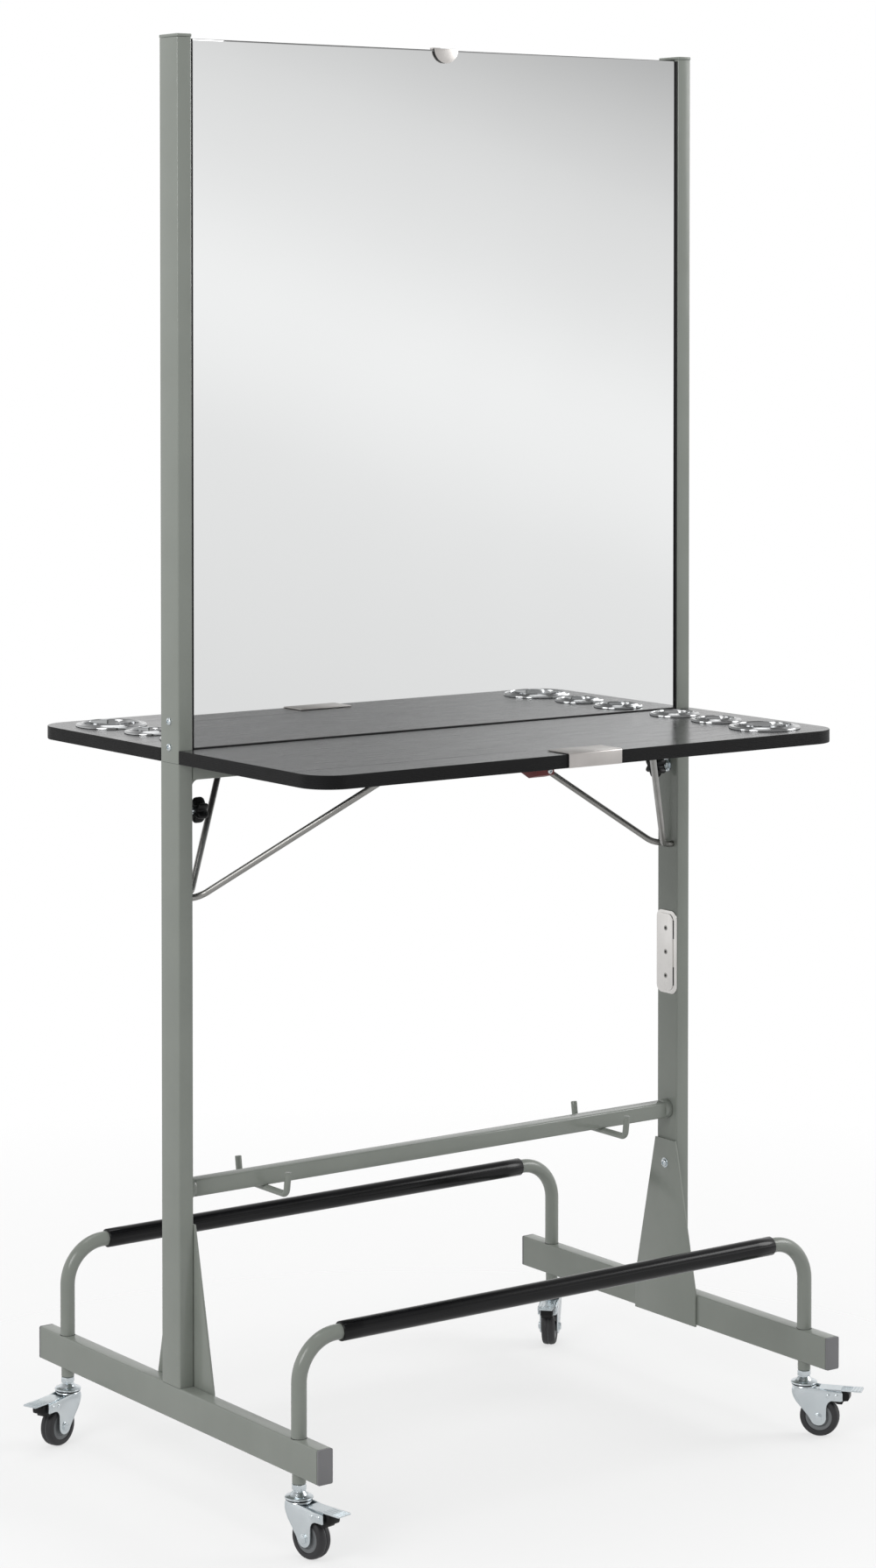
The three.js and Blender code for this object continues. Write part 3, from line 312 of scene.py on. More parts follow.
def bent_rod(bm, corners, bend, radius, around=28, steps=14):
    """A round rod or tube: straight runs pulled out and bends spun about their centres."""
    points = [Vector(corner) for corner in corners]
    before = set(bm.verts)
    ahead = (points[1] - points[0]).normalized()
    bmesh.ops.create_circle(bm, segments=around, radius=radius, matrix=aim(points[0], ahead))
    ring = list({e for v in bm.verts if v not in before for e in v.link_edges})
    bmesh.ops.edgeloop_fill(bm, edges=ring)
    here = points[0]
    for corner, after in zip(points[1:-1], points[2:]):
        onward = (after - corner).normalized()
        angle = ahead.angle(onward)
        setback = bend * math.tan(angle / 2)
        stop = corner - ahead * setback
        ring = pull(bm, ring, stop - here)
        axis = ahead.cross(onward).normalized()
        ends = list({v for e in ring for v in e.verts})
        spun = bmesh.ops.spin(bm, geom=ends + ring, cent=stop + axis.cross(ahead) * bend, axis=axis,
                              dvec=(0, 0, 0), angle=angle, steps=steps)
        ring = edge_ring(spun["geom_last"])
        here = corner + onward * setback
        ahead = onward
    ring = pull(bm, ring, points[-1] - here)
    bmesh.ops.edgeloop_fill(bm, edges=ring)
    made = [v for v in bm.verts if v not in before]
    faces = list({face for vert in made for face in vert.link_faces})
    bmesh.ops.recalc_face_normals(bm, faces=faces)


for face, sign in FACES.items():
    low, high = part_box(f"footrest_{face}")
    y = (low.y + high.y) / 2
    leg = high.x - FOOTREST_RADIUS
    inside = FOOT_TOP - 10 * mm
    bm = bmesh.new()
    bent_rod(bm, [(-leg, y, inside), (-leg, y, FOOTREST_HEIGHT), (leg, y, FOOTREST_HEIGHT), (leg, y, inside)],
             FOOTREST_BEND, FOOTREST_RADIUS, 36, 20)
    socket = [(0, low.z), (7.2 * mm, low.z), (8 * mm, low.z + 0.6 * mm), (8 * mm, inside), (0, inside)]
    for x in (-leg, leg):
        turned(bm, socket, Matrix.Translation((x, y, 0)), 36)
    add_piece(f"footrest_tube_{face}", bm, sage_coat, "frame", "powder_coat", f"footrest_{face}")

# Leg joint shade: painted shade, a dark ring round each footrest leg where it enters the top of the foot, standing for
# the shadow in that joint.
# It shows as a thin black line.
# painted shade: a near-black finish for the shadow ring where each leg meets the foot
joint_shade_black = moulded("painted_joint_shade", srgb(34, 35, 34), srgb(44, 45, 44), 0.7)
bm = bmesh.new()
for face in FACES:
    low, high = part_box(f"footrest_{face}")
    for x in (low.x + FOOTREST_RADIUS, high.x - FOOTREST_RADIUS):
        joint_shade_profile = [(8.9, -0.3), (9.5, -0.3), (9.4, 0.15), (9.1, 0.35), (8.9, 0.4), (8.9, -0.3)]
        turned(bm, [(r * mm, FOOT_TOP + h * mm) for r, h in joint_shade_profile], Matrix.Translation((x, (low.y + high.y) / 2, 0)), 36)
add_piece("leg_joint_shade", bm, joint_shade_black, "frame", "black_plastic")

# Footrest sleeves: thick glossy black vinyl tube, cut to length and pushed over the straight of the bar.
# The cut ends are slightly rounded and the wall is a little uneven.
SLEEVE_RADIUS = 11.5 * mm
SLEEVE_EDGE = 0.9 * mm


def vinyl():
    finish, tree, shader, place = new_finish("glossy_black_vinyl")
    shader.inputs["Specular IOR Level"].default_value = 0.28
    tone = speckle(tree, place, 18)
    tree.links.new(tint(tree, tone, srgb(12, 12, 13), srgb(18, 18, 20)), shader.inputs["Base Color"])
    gloss = spread(tree, speckle(tree, place, 35, 4, (0.2, 1, 1)), 0.13, 0.22)
    tree.links.new(gloss, shader.inputs["Roughness"])
    relief(tree, shader, speckle(tree, place, 26, 3, (0.25, 1, 1)), 0.25, 0.0008)
    return finish


black_vinyl = vinyl()
for face in FACES:
    low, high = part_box(f"footrest_sleeve_{face}")
    y = (low.y + high.y) / 2
    half = high.x
    bm = bmesh.new()
    inner = FOOTREST_RADIUS + 0.2 * mm
    rim = SLEEVE_RADIUS - SLEEVE_EDGE
    wall = [(inner, -half), (rim, -half), (rim + 0.6 * SLEEVE_EDGE, -half + 0.35 * SLEEVE_EDGE),
            (SLEEVE_RADIUS, -half + SLEEVE_EDGE)]
    steps = 24
    wall += [(SLEEVE_RADIUS, -half + SLEEVE_EDGE + (2 * half - 2 * SLEEVE_EDGE) * i / steps) for i in range(1, steps)]
    wall += [(r, -h) for r, h in reversed(wall[:4])]
    wall += [(inner, -half)]
    turned(bm, wall, aim((0, y, FOOTREST_HEIGHT), (1, 0, 0)), 40)
    add_piece(f"footrest_grip_{face}", bm, black_vinyl, "frame", "black_vinyl", f"footrest_sleeve_{face}")

# Castor stems: a threaded stem with a hex nut screwed up into each footrest leg, over a dished steel race.
# All of it is bright zinc plated. A thin black seal shows between the race and the fork.
CASTORS = {"front_left": -80, "front_right": -52, "rear_left": 200, "rear_right": 225}
TRAIL = 20 * mm
AXLE_HEIGHT = 24.692 * mm
FORK_TOP = 62.99 * mm
NUT_TOP = 80.69 * mm
RACE_RADIUS = 16.5 * mm


def castor_place(corner):
    """Where a castor stands on the floor and which way it trails."""
    low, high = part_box(f"castor_stem_{corner}")
    middle = (low + high) / 2
    turn = Matrix.Rotation(math.radians(CASTORS[corner]), 4, "Z")
    return Matrix.Translation((middle.x, middle.y, 0)) @ turn


black_plastic = moulded("black_moulded_plastic", srgb(12, 12, 13), srgb(18, 18, 19), 0.36, 1100, shine=0.25)
for corner in CASTORS:
    place = castor_place(corner)
    bm = bmesh.new()
    rim = [(0, 64.3), (14.9, 64.3), (16.1, 64.7), (16.5, 65.6), (16.2, 66.6), (15.2, 67.2), (12.8, 67.6), (10.9, 68.4),
           (9.4, 69.9), (8.4, 71.6), (7.4, 72.3), (6.9, 73.0), (6.9, 74.4), (6.2, 74.6), (6.2, 90), (0, 90)]
    turned(bm, [(r * mm, z * mm) for r, z in rim], place, 48)
    hex_prism(bm, 17.6 * mm, 74.0 * mm, NUT_TOP, place, 0.7 * mm)
    add_piece(f"castor_race_{corner}", bm, zinc, "frame", "zinc", f"castor_stem_{corner}")
    bm = bmesh.new()
    seal = [(0, 63.3), (14.9, 63.3), (15.6, 63.7), (14.9, 64.25), (0, 64.25)]
    turned(bm, [(r * mm, z * mm) for r, z in seal], place, 48)
    add_piece(f"castor_seal_{corner}", bm, black_plastic, "frame", "black_plastic")

# Castor forks: pressed from one sheet of zinc-plated steel, with a dished crown, a rounded heel and two cheeks.
# Each cheek carries a brake ear with two rivets, and the axle bolt crosses both with a hex nut.
CHEEK_INNER = 10.4 * mm
CHEEK_SHEET = 2.2 * mm
EAR = [(30.2, 37), (30.8, 41), (32.6, 44.4), (35.6, 46.8), (39.4, 47.7), (50, 47.7), (50.8, 48.5), (50.8, 57.6),
       (50, 58.5), (36, 58.9), (33, 59.4)]
HEEL = [(-12, 62, 6, 12.4), (-13.4, 60.6, 6, 12.4), (-14.3, 57.6, 6, 12.4), (-14.2, 53.4, 6, 12.4), (-12.6, 48.6, 6, 12.4),
        (-8.6, 42.4, 5, 8), (-1.6, 35.6, 3, 3), (5.2, 28.6, 0.8, 0.8)]
for corner in CASTORS:
    place = castor_place(corner)
    bm = bmesh.new()
    boss = [(20 + 10 * math.cos(a), 24.7 + 9.4 * math.sin(a)) for a in [math.radians(200 + 165 * i / 14) for i in range(15)]]
    heel = [(x + bend, z) for x, z, bend, depth in HEEL]
    for inner, thickness in ((-CHEEK_INNER, -CHEEK_SHEET), (CHEEK_INNER, CHEEK_SHEET)):
        flat_plate(bm, [(x * mm, inner, z * mm) for x, z in [(12, 62)] + heel + boss + EAR], (0, thickness, 0))
    soften(bm, 0.45 * mm, 2, 50)
    outer = CHEEK_INNER + CHEEK_SHEET
    for sign in (-1, 1):
        before = set(bm.verts)
        bmesh.ops.create_grid(bm, x_segments=len(HEEL) - 1, y_segments=12, size=0.5)
        made = [v for v in bm.verts if v not in before]
        for vert in made:
            x, z, bend, depth = HEEL[round((vert.co.x + 0.5) * (len(HEEL) - 1))]
            way = (vert.co.y + 0.5) * (bend * math.pi / 2 + depth - bend)
            turn = min(way / bend, math.pi / 2)
            across = bend * (1 - math.cos(turn)) + max(way - bend * math.pi / 2, 0)
            vert.co = ((x + bend * (1 - math.sin(turn))) * mm, sign * (outer - across * mm), z * mm)
        faces = list({face for vert in made for face in vert.link_faces})
        grown = bmesh.ops.extrude_face_region(bm, geom=faces)["geom"]
        inside = [g for g in grown if isinstance(g, bmesh.types.BMVert)]
        bmesh.ops.translate(bm, verts=inside, vec=(1.4 * mm, -sign * 0.8 * mm, -0.4 * mm))
        bmesh.ops.recalc_face_normals(bm, faces=list({face for vert in made + inside for face in vert.link_faces}))
    bar(bm, (8 * mm, -CHEEK_INNER, 58.2 * mm), (23 * mm, CHEEK_INNER, 59.6 * mm), 0, 0.5 * mm, 2)
    crown = [(0, 59.8), (12.6, 59.8), (14.2, 60.4), (14.9, 61.6), (14.4, 62.6), (12.8, 62.98), (0, 62.98)]
    turned(bm, [(r * mm, z * mm) for r, z in crown], Matrix.Identity(4), 48)
    for sign in (-1, 1):
        wall = aim((TRAIL, sign * outer, AXLE_HEIGHT), (0, sign, 0))
        turned(bm, [(0, -0.3 * mm), (5.9 * mm, -0.3 * mm), (5.9 * mm, 0.5 * mm), (5.4 * mm, 0.8 * mm), (0, 0.8 * mm)], wall, 32)
        hex_prism(bm, 10.4 * mm, 0.4 * mm, 2.6 * mm, wall, 0.5 * mm)
        turned(bm, [(0, 2.4 * mm), (2.7 * mm, 2.4 * mm), (2.7 * mm, 2.85 * mm), (2.1 * mm, 3 * mm), (0, 3 * mm)], wall, 20)
        for along, size in ((32.5 * mm, 2.7 * mm), (43 * mm, 3.3 * mm)):
            rivet = aim((along, sign * outer, 53 * mm), (0, sign, 0))
            turned(bm, [(size, -0.3 * mm), (size, 0.4 * mm), (0.84 * size, 0.85 * mm), (0.5 * size, 1.1 * mm), (0, 1.2 * mm)], rivet, 28)
    axle = aim((TRAIL, 0, AXLE_HEIGHT), (0, 1, 0))
    turned(bm, [(0, -outer), (3.4 * mm, -outer), (3.4 * mm, outer), (0, outer)], axle, 24)
    bmesh.ops.transform(bm, matrix=place, verts=bm.verts)
    add_piece(f"castor_cheeks_{corner}", bm, zinc, f"castor_{corner}", "zinc", f"castor_fork_{corner}")

# Castor wheels: dark rubber tyres moulded onto a grey plastic hub, with a painted highlight: a thin ring of the hub's
# lighter grey lies in the groove round the tread where a glint falls.
# They turn freely on the axle bolt.
rubber = moulded("dark_rubber", srgb(42, 42, 44), srgb(52, 52, 54), 0.55, 500, 0.0003)
hub_grey = moulded("hub_grey_plastic", srgb(112, 115, 117), srgb(124, 127, 129), 0.42)
for corner in CASTORS:
    wheel = castor_place(corner) @ aim((TRAIL, 0, AXLE_HEIGHT), (0, 1, 0))
    half_tread = [(16.8, 8.0), (17.4, 8.7), (21.4, 8.7), (23.0, 7.8), (24.1, 5.9), (24.5, 3.6), (24.65, 1.3),
                  (24.5, 0.75), (23.8, 0.5), (23.5, 0.4)]
    tread = [(r * mm, h * mm) for r, h in half_tread]
    tread += [(r, -h) for r, h in reversed(tread)]
    bm = bmesh.new()
    turned(bm, tread + [(16.4 * mm, -7 * mm), (16.4 * mm, 7 * mm), tread[0]], wheel, 72)
    add_piece(f"castor_tyre_{corner}", bm, rubber, f"wheel_{corner}", "rubber", f"castor_wheel_{corner}")
    bm = bmesh.new()
    half_hub = [(3.8, 10.1), (6.2, 10.1), (6.4, 9.6), (6.6, 7.2), (11.4, 7.0), (12.0, 7.6), (12.8, 7.9), (16.2, 7.9),
                (16.7, 7.7)]
    hub = [(r * mm, h * mm) for r, h in half_hub]
    hub += [(r, -h) for r, h in reversed(hub)] + [hub[0]]
    turned(bm, hub, wheel, 56)
    # painted highlight: a lighter grey ring in the tread groove standing for a glint
    tread_glint = [(23.4, 0.39), (24.1, 0.3), (24.1, -0.3), (23.4, -0.39), (23.4, 0.39)]
    turned(bm, [(r * mm, h * mm) for r, h in tread_glint], wheel, 72)
    add_piece(f"castor_hub_{corner}", bm, hub_grey, f"wheel_{corner}", "rubber")

# Brake pedals: a pressed-steel lever between the ears, its tip turned up and ribbed for the foot.
# Treading the tip down swings the black moulded shoe under it onto the tyre.
PEDAL_TOP = 62.1 * mm
PEDAL_HALF = 9.9 * mm
PEDAL_TIP = 73.9 * mm
for corner in CASTORS:
    place = castor_place(corner)
    bm = bmesh.new()
    bar(bm, (20.2 * mm, -PEDAL_HALF, PEDAL_TOP - 2.2 * mm), (PEDAL_TIP, PEDAL_HALF, PEDAL_TOP - 0.6 * mm), 2, 1.2 * mm, 3)
    for rib in (-6.6 * mm, -2.2 * mm, 2.2 * mm, 6.6 * mm):
        bar(bm, (48 * mm, rib - 0.9 * mm, PEDAL_TOP - 1 * mm), (61 * mm, rib + 0.9 * mm, PEDAL_TOP - 0.1 * mm), 0, 0.35 * mm, 2)
    for ridge in (63.5 * mm, 67.5 * mm, 71.5 * mm):
        bar(bm, (ridge - 0.8 * mm, -PEDAL_HALF + 0.6 * mm, PEDAL_TOP - 1 * mm), (ridge + 0.8 * mm, PEDAL_HALF - 0.6 * mm, PEDAL_TOP), 1, 0.35 * mm, 2)
    for sign in (-1, 1):
        bar(bm, (24 * mm, sign * 9.1 * mm - 0.8 * mm, 46.5 * mm), (49 * mm, sign * 9.1 * mm + 0.8 * mm, PEDAL_TOP - 1.5 * mm), 1, 1.5 * mm, 3)
    bmesh.ops.transform(bm, matrix=place, verts=bm.verts)
    add_piece(f"brake_lever_{corner}", bm, zinc, f"pedal_{corner}", "zinc", f"brake_pedal_{corner}")
    bm = bmesh.new()
    shoe = [(31, 60), (32.6, 51), (42.9, 42.6), (49.5, 42.6), (50.5, 46.5), (57, 47.5), (58.2, 50), (58.2, 55.5), (55, 60)]
    flat_plate(bm, [(x * mm, -8 * mm, z * mm) for x, z in shoe], (0, 16 * mm, 0))
    soften(bm, 0.6 * mm, 2)
    bmesh.ops.transform(bm, matrix=place, verts=bm.verts)
    add_piece(f"brake_shoe_{corner}", bm, black_plastic, f"pedal_{corner}", "black_plastic")

# Hook rail: thin square tube low down between the posts, with a round plug at each end.
# Two hooks of bent rod are welded across its underside and turn up on both faces.
HOOK_Z = 351.5 * mm
HOOK_RISE = 27 * mm
HOOK_X = 259 * mm
HOOK_RADIUS = 4 * mm
rail_low, rail_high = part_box("hook_rail")
RAIL_TOP = 375 * mm
RAIL_SIDE = 20 * mm
bm = bmesh.new()
plug_start = rail_high.x - 9 * mm
bar(bm, (-plug_start, -RAIL_SIDE / 2, RAIL_TOP - RAIL_SIDE), (plug_start, RAIL_SIDE / 2, RAIL_TOP), 0, 2.4 * mm)
for sign in (-1, 1):
    plug = aim((sign * (plug_start - 1 * mm), 0, RAIL_TOP - RAIL_SIDE / 2), (sign, 0, 0))
    turned(bm, [(0, 0), (11 * mm, 0), (12.1 * mm, 0.6 * mm), (12.5 * mm, 2 * mm), (12.5 * mm, 10 * mm), (0, 10 * mm)], plug, 40)
    x = sign * HOOK_X
    bent_rod(bm, [(x, -55 * mm, HOOK_Z + HOOK_RISE), (x, -51 * mm, HOOK_Z), (x, 51 * mm, HOOK_Z),
                  (x, 55 * mm, HOOK_Z + HOOK_RISE)], 8 * mm, HOOK_RADIUS, 24, 10)
soften(bm, 0.8 * mm, 2, 60)
add_piece("hook_rail_bar", bm, sage_coat, "frame", "powder_coat", "hook_rail")

# Table rail: the crossbar under the leaves, of the post tube laid flat, with a rounded fillet into each post.
# Its front and rear faces carry the knuckles of the leaf hinges.
rail_low, rail_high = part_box("table_rail")
RAIL_HIGH = 20 * mm
FILLET = 9 * mm
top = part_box("lower_post_right")[1].z
under = top - RAIL_HIGH
bm = bmesh.new()
bar(bm, (rail_low.x, -20 * mm, under), (rail_high.x, 20 * mm, top), 0, TUBE_ROUND)
for sign in (-1, 1):
    end = rail_high.x
    arc = [math.radians(90 * i / 10) for i in range(11)]
    curve = [(end - FILLET + FILLET * math.sin(a), under - FILLET + FILLET * math.cos(a)) for a in arc]
    outline = [(end, under + 1 * mm), (end - FILLET, under + 1 * mm)] + curve
    flat_plate(bm, [(sign * x, -17 * mm, z) for x, z in outline], (0, 34 * mm, 0))
HINGE_Y = 26 * mm
HINGE_Z = 870 * mm
KNUCKLE = 2.6 * mm
PITCH = 84 * mm
for sign in (-1, 1):
    for i in (1, 3, 5):
        start = -294 * mm + i * PITCH + 0.2 * mm
        knuckle = aim((start, sign * HINGE_Y, HINGE_Z), (1, 0, 0))
        length = PITCH - 0.4 * mm
        turned(bm, [(0, 0), (KNUCKLE, 0), (KNUCKLE, length), (0, length)], knuckle, 20)
        ys = sorted((sign * HINGE_Y, sign * 19.5 * mm))
        bar(bm, (start, ys[0], HINGE_Z - 0.75 * mm), (start + length, ys[1], HINGE_Z + 0.75 * mm), 0, 0.2 * mm, 1)
add_piece("table_rail_bar", bm, sage_coat, "frame", "powder_coat", "table_rail")

# Clamp knobs: black moulded star knobs on a plated nut and stud, one through the inner face of each lower post.
# Tightened by hand, the stud presses on the spigot of the upper post.
KNOB_Z = 814 * mm
LOBES = 6
for side, sign in SIDES.items():
    face_x = 370 * mm
    place = aim((sign * face_x, 0, KNOB_Z), (-sign, 0, 0))
    bm = bmesh.new()
    bmesh.ops.create_circle(bm, segments=16 * LOBES, radius=1)
    for vert in bm.verts:
        angle = math.atan2(vert.co.y, vert.co.x)
        vert.co *= (12.75 - 2.75 * math.cos(LOBES * angle)) * mm
    ring = list(bm.edges)
    bmesh.ops.edgeloop_fill(bm, edges=ring)
    start = 12 * mm
    bmesh.ops.translate(bm, verts=bm.verts, vec=(0, 0, start))
    bmesh.ops.scale(bm, verts=bm.verts, vec=(0.74, 0.74, 1))
    share = 0.74
    for height, scale in ((1, 0.88), (2.6, 0.97), (4.8, 1), (10.2, 1), (13, 0.96), (14.9, 0.86), (16, 0.72), (16.5, 0.5), (15.8, 0.3)):
        ring = pull(bm, ring, (0, 0, start + height * mm - ring[0].verts[0].co.z))
        verts = list({v for e in ring for v in e.verts})
        bmesh.ops.scale(bm, verts=verts, vec=(scale / share, scale / share, 1))
        share = scale
    bmesh.ops.edgeloop_fill(bm, edges=ring)
    bmesh.ops.recalc_face_normals(bm, faces=bm.faces)
    bmesh.ops.transform(bm, matrix=place, verts=bm.verts)
    add_piece(f"star_knob_{side}", bm, black_plastic, f"knob_{side}", "black_plastic", f"knob_{side}")
    bm = bmesh.new()
    turned(bm, [(0, 0.3 * mm), (8.5 * mm, 0.3 * mm), (8.5 * mm, 1.3 * mm), (7.4 * mm, 1.6 * mm), (0, 1.6 * mm)], place, 32)
    hex_prism(bm, 14 * mm, 1.6 * mm, 7 * mm, place, 0.5 * mm)
    turned(bm, [(0, 7 * mm), (5.4 * mm, 7 * mm), (5.4 * mm, 12.4 * mm), (0, 12.4 * mm)], place, 28)
    add_piece(f"knob_nut_{side}", bm, zinc, f"knob_{side}", "zinc")

# Accessory plate: two layers of satin stainless sheet on the inner face of the right post.
# The upper layer leaves two slits along one edge; three countersunk screws hold both layers.
def rounded_plate(bm, wide, high, radius, centre, face_x, thickness):
    """A plate with round corners that lies against a post."""
    before = set(bm.verts)
    bmesh.ops.create_grid(bm, x_segments=1, y_segments=1, size=0.5)
    made = [v for v in bm.verts if v not in before]
    bmesh.ops.scale(bm, verts=made, vec=(wide, high, 1))
    bmesh.ops.bevel(bm, geom=made, offset=radius, offset_type="OFFSET", segments=8, profile=0.5,
                    affect="VERTICES", material=-1)
    made = [v for v in bm.verts if v not in before]
    stand = Matrix.Translation((face_x, *centre)) @ Matrix(((0, 0, 1, 0), (1, 0, 0, 0), (0, 1, 0, 0), (0, 0, 0, 1)))
    bmesh.ops.transform(bm, matrix=stand, verts=made)
    faces = list({face for vert in made for face in vert.link_faces})
    grown = bmesh.ops.extrude_face_region(bm, geom=faces)["geom"]
    bmesh.ops.translate(bm, verts=[g for g in grown if isinstance(g, bmesh.types.BMVert)], vec=(thickness, 0, 0))
    bmesh.ops.recalc_face_normals(bm, faces=bm.faces)


pale_steel = plated("pale_stainless", srgb(222, 220, 217), srgb(232, 230, 228), 0.3, (1, 1, 0.04))
dull_zinc = plated("dull_zinc_plate", srgb(150, 149, 146), srgb(164, 163, 160), 0.34)
low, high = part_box("accessory_plate")
centre_z = (low.z + high.z) / 2
bm = bmesh.new()
rounded_plate(bm, 40 * mm, 108 * mm, 10 * mm, (0, centre_z), high.x, -1.2 * mm)
rounded_plate(bm, 31 * mm, 100 * mm, 9 * mm, (1.6 * mm, centre_z), high.x - 1.25 * mm, -1.2 * mm)
soften(bm, 0.35 * mm, 2)
add_piece("accessory_plate_layers", bm, pale_steel, "frame", "brushed_steel", "accessory_plate")
bm = bmesh.new()
for z in (-30.5, 30.5):
    bar(bm, (high.x - 1.45 * mm, -15.4 * mm, centre_z + (z - 12) * mm), (high.x - 1.0 * mm, -13.6 * mm, centre_z + (z + 12) * mm), 2, 0.2 * mm, 1)
add_piece("accessory_plate_slits", bm, black_plastic, "frame", "black_plastic")
bm = bmesh.new()
sockets = bmesh.new()
for z in (-31, 0, 31):
    place = aim((low.x, 0, centre_z + z * mm), (-1, 0, 0))
    turned(bm, [(3.4 * mm, -0.3 * mm), (3.4 * mm, -0.02 * mm), (2.9 * mm, 0.12 * mm), (1.9 * mm, 0.15 * mm),
                (1.8 * mm, -0.4 * mm), (0, -0.4 * mm)], place, 28)
    turned(sockets, [(1.85 * mm, -0.3 * mm), (1.85 * mm, 0.02 * mm), (0, 0.02 * mm)], place, 6)
add_piece("accessory_plate_screws", bm, dull_zinc, "frame", "zinc")
add_piece("accessory_plate_sockets", sockets, black_plastic, "frame", "black_plastic")

# Upper posts: the same tube above the seam, slotted down the inner wall for the mirror board.
# A spigot plugs into the lower post, and two button-head screws on the outer face fix it.
SLOT_HALF = 12 * mm
SLOT_DEEP = 6 * mm
for side, sign in SIDES.items():
    low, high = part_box(f"upper_post_{side}")
    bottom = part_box(f"lower_post_{side}")[1].z + 0.3 * mm
    inner, outer = 370 * mm, 390 * mm
    section = [(outer, -20 * mm), (outer, 20 * mm), (inner, 20 * mm), (inner, SLOT_HALF), (inner + SLOT_DEEP, SLOT_HALF),
               (inner + SLOT_DEEP, -SLOT_HALF), (inner, -SLOT_HALF), (inner, -20 * mm)]
    bm = bmesh.new()
    flat_plate(bm, [(sign * x, y, bottom) for x, y in section], (0, 0, high.z - bottom))
    corners = [e for e in bm.edges if abs(e.verts[0].co.z - e.verts[1].co.z) > 0.1 and abs(e.verts[0].co.y) > 19 * mm]
    bmesh.ops.bevel(bm, geom=corners, offset=TUBE_ROUND, offset_type="OFFSET", segments=4, profile=0.5,
                    affect="EDGES", material=-1)
    add_piece(f"upper_post_tube_{side}", bm, sage_coat, "frame", "powder_coat", f"upper_post_{side}")
    bm = bmesh.new()
    for z in (922 * mm, 891.5 * mm):
        button_screw(bm, (sign * outer, 0, z), (sign, 0, 0), 4.4 * mm)
    add_piece(f"post_screws_{side}", bm, zinc, "frame", "zinc")

# Post caps: thin moulded plugs in the open tops of the posts, the colour of the frame's grey.
# Their rims stand half a millimetre past the tube.
for side, sign in SIDES.items():
    low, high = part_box(f"post_cap_{side}")
    bm = bmesh.new()
    bar(bm, (low.x, low.y, high.z - 3.7 * mm), high, 2, TUBE_ROUND)
    soften(bm, 1 * mm, 3)
    add_piece(f"post_top_{side}", bm, sage_coat, "frame", "grey_plastic", f"post_cap_{side}")

# Mirror sill: a black channel that lies between the upper posts, in which the mirror stands.
# The gap between it and the leaves shows as a dark line.
low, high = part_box("mirror_sill")
bm = bmesh.new()
floor_z = low.z + 4.7 * mm
section = [(-18, low.z), (18, low.z), (18, high.z), (16.3, high.z), (16.3, floor_z), (-16.3, floor_z), (-16.3, high.z), (-18, high.z)]
flat_plate(bm, [(low.x, y * mm, z) for y, z in section], (high.x - low.x, 0, 0))
soften(bm, 0.5 * mm, 2, 60)
add_piece("mirror_channel", bm, black_plastic, "frame", "black_plastic", "mirror_sill")
bm = bmesh.new()
for front in (-1, 1):
    ys = sorted((front * 16.1 * mm, front * 18 * mm))
    bar(bm, (low.x + 3 * mm, ys[0], high.z), (high.x - 3 * mm, ys[1], 890.5 * mm), 0, 0.3 * mm, 2)
add_piece("sill_beads", bm, black_plastic, "frame", "black_plastic")

# Mirror core: a black board that stands in the slots of the posts and in the channel.
# It carries a pane on each face; only its dark edge shows beside and above the glass.
bm = bmesh.new()
low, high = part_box("mirror_core")
bar(bm, low, (high.x, high.y, high.z - 1.1 * mm), 0, 0.6 * mm, 2)
add_piece("mirror_board", bm, black_plastic, "frame", "black_plastic", "mirror_core")

# Mirror panes: 4 mm silvered glass with ground and bevelled edges, bonded to both faces of the core.
# They end just short of the posts, and their feet stand in the channel.
PANE_BEVEL = 1.2 * mm


def mirror_finish():
    finish, tree, shader, place = new_finish("silvered_glass")
    shader.inputs["Metallic"].default_value = 1
    haze = speckle(tree, place, 3, 2)
    tree.links.new(tint(tree, haze, srgb(245, 246, 246), srgb(247, 248, 248)), shader.inputs["Base Color"])
    tree.links.new(spread(tree, haze, 0.012, 0.03), shader.inputs["Roughness"])
    return finish


silvered_glass = mirror_finish()
for face, sign in FACES.items():
    bm = bmesh.new()
    low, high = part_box(f"mirror_pane_{face}")
    block(bm, low, high)
    outer_y = low.y if sign < 0 else high.y
    rim = [e for e in bm.edges if all(abs(v.co.y - outer_y) < 1e-6 for v in e.verts)]
    bmesh.ops.bevel(bm, geom=rim, offset=PANE_BEVEL, offset_type="OFFSET", segments=1, profile=0.5,
                    affect="EDGES", material=-1)
    add_piece(f"mirror_glass_{face}", bm, silvered_glass, "frame", "mirror", f"mirror_pane_{face}")

# Glass gap shade: painted shade, black strips that fill the gap between the glass and the posts on both faces and stand
# for the shadow in it.
# They show as a black line down each side.
low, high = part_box("mirror_pane_front")
bm = bmesh.new()
for sign in (-1, 1):
    for front in (-1, 1):
        ys = sorted((front * 12.2 * mm, front * 18.2 * mm))
        xs = sorted((sign * 367.1 * mm, sign * 369.9 * mm))
        bar(bm, (xs[0], ys[0], 887 * mm), (xs[1], ys[1], high.z), 2, 0.6 * mm, 3)
add_piece("glass_gap_shade_strips", bm, black_plastic, "frame", "black_plastic")
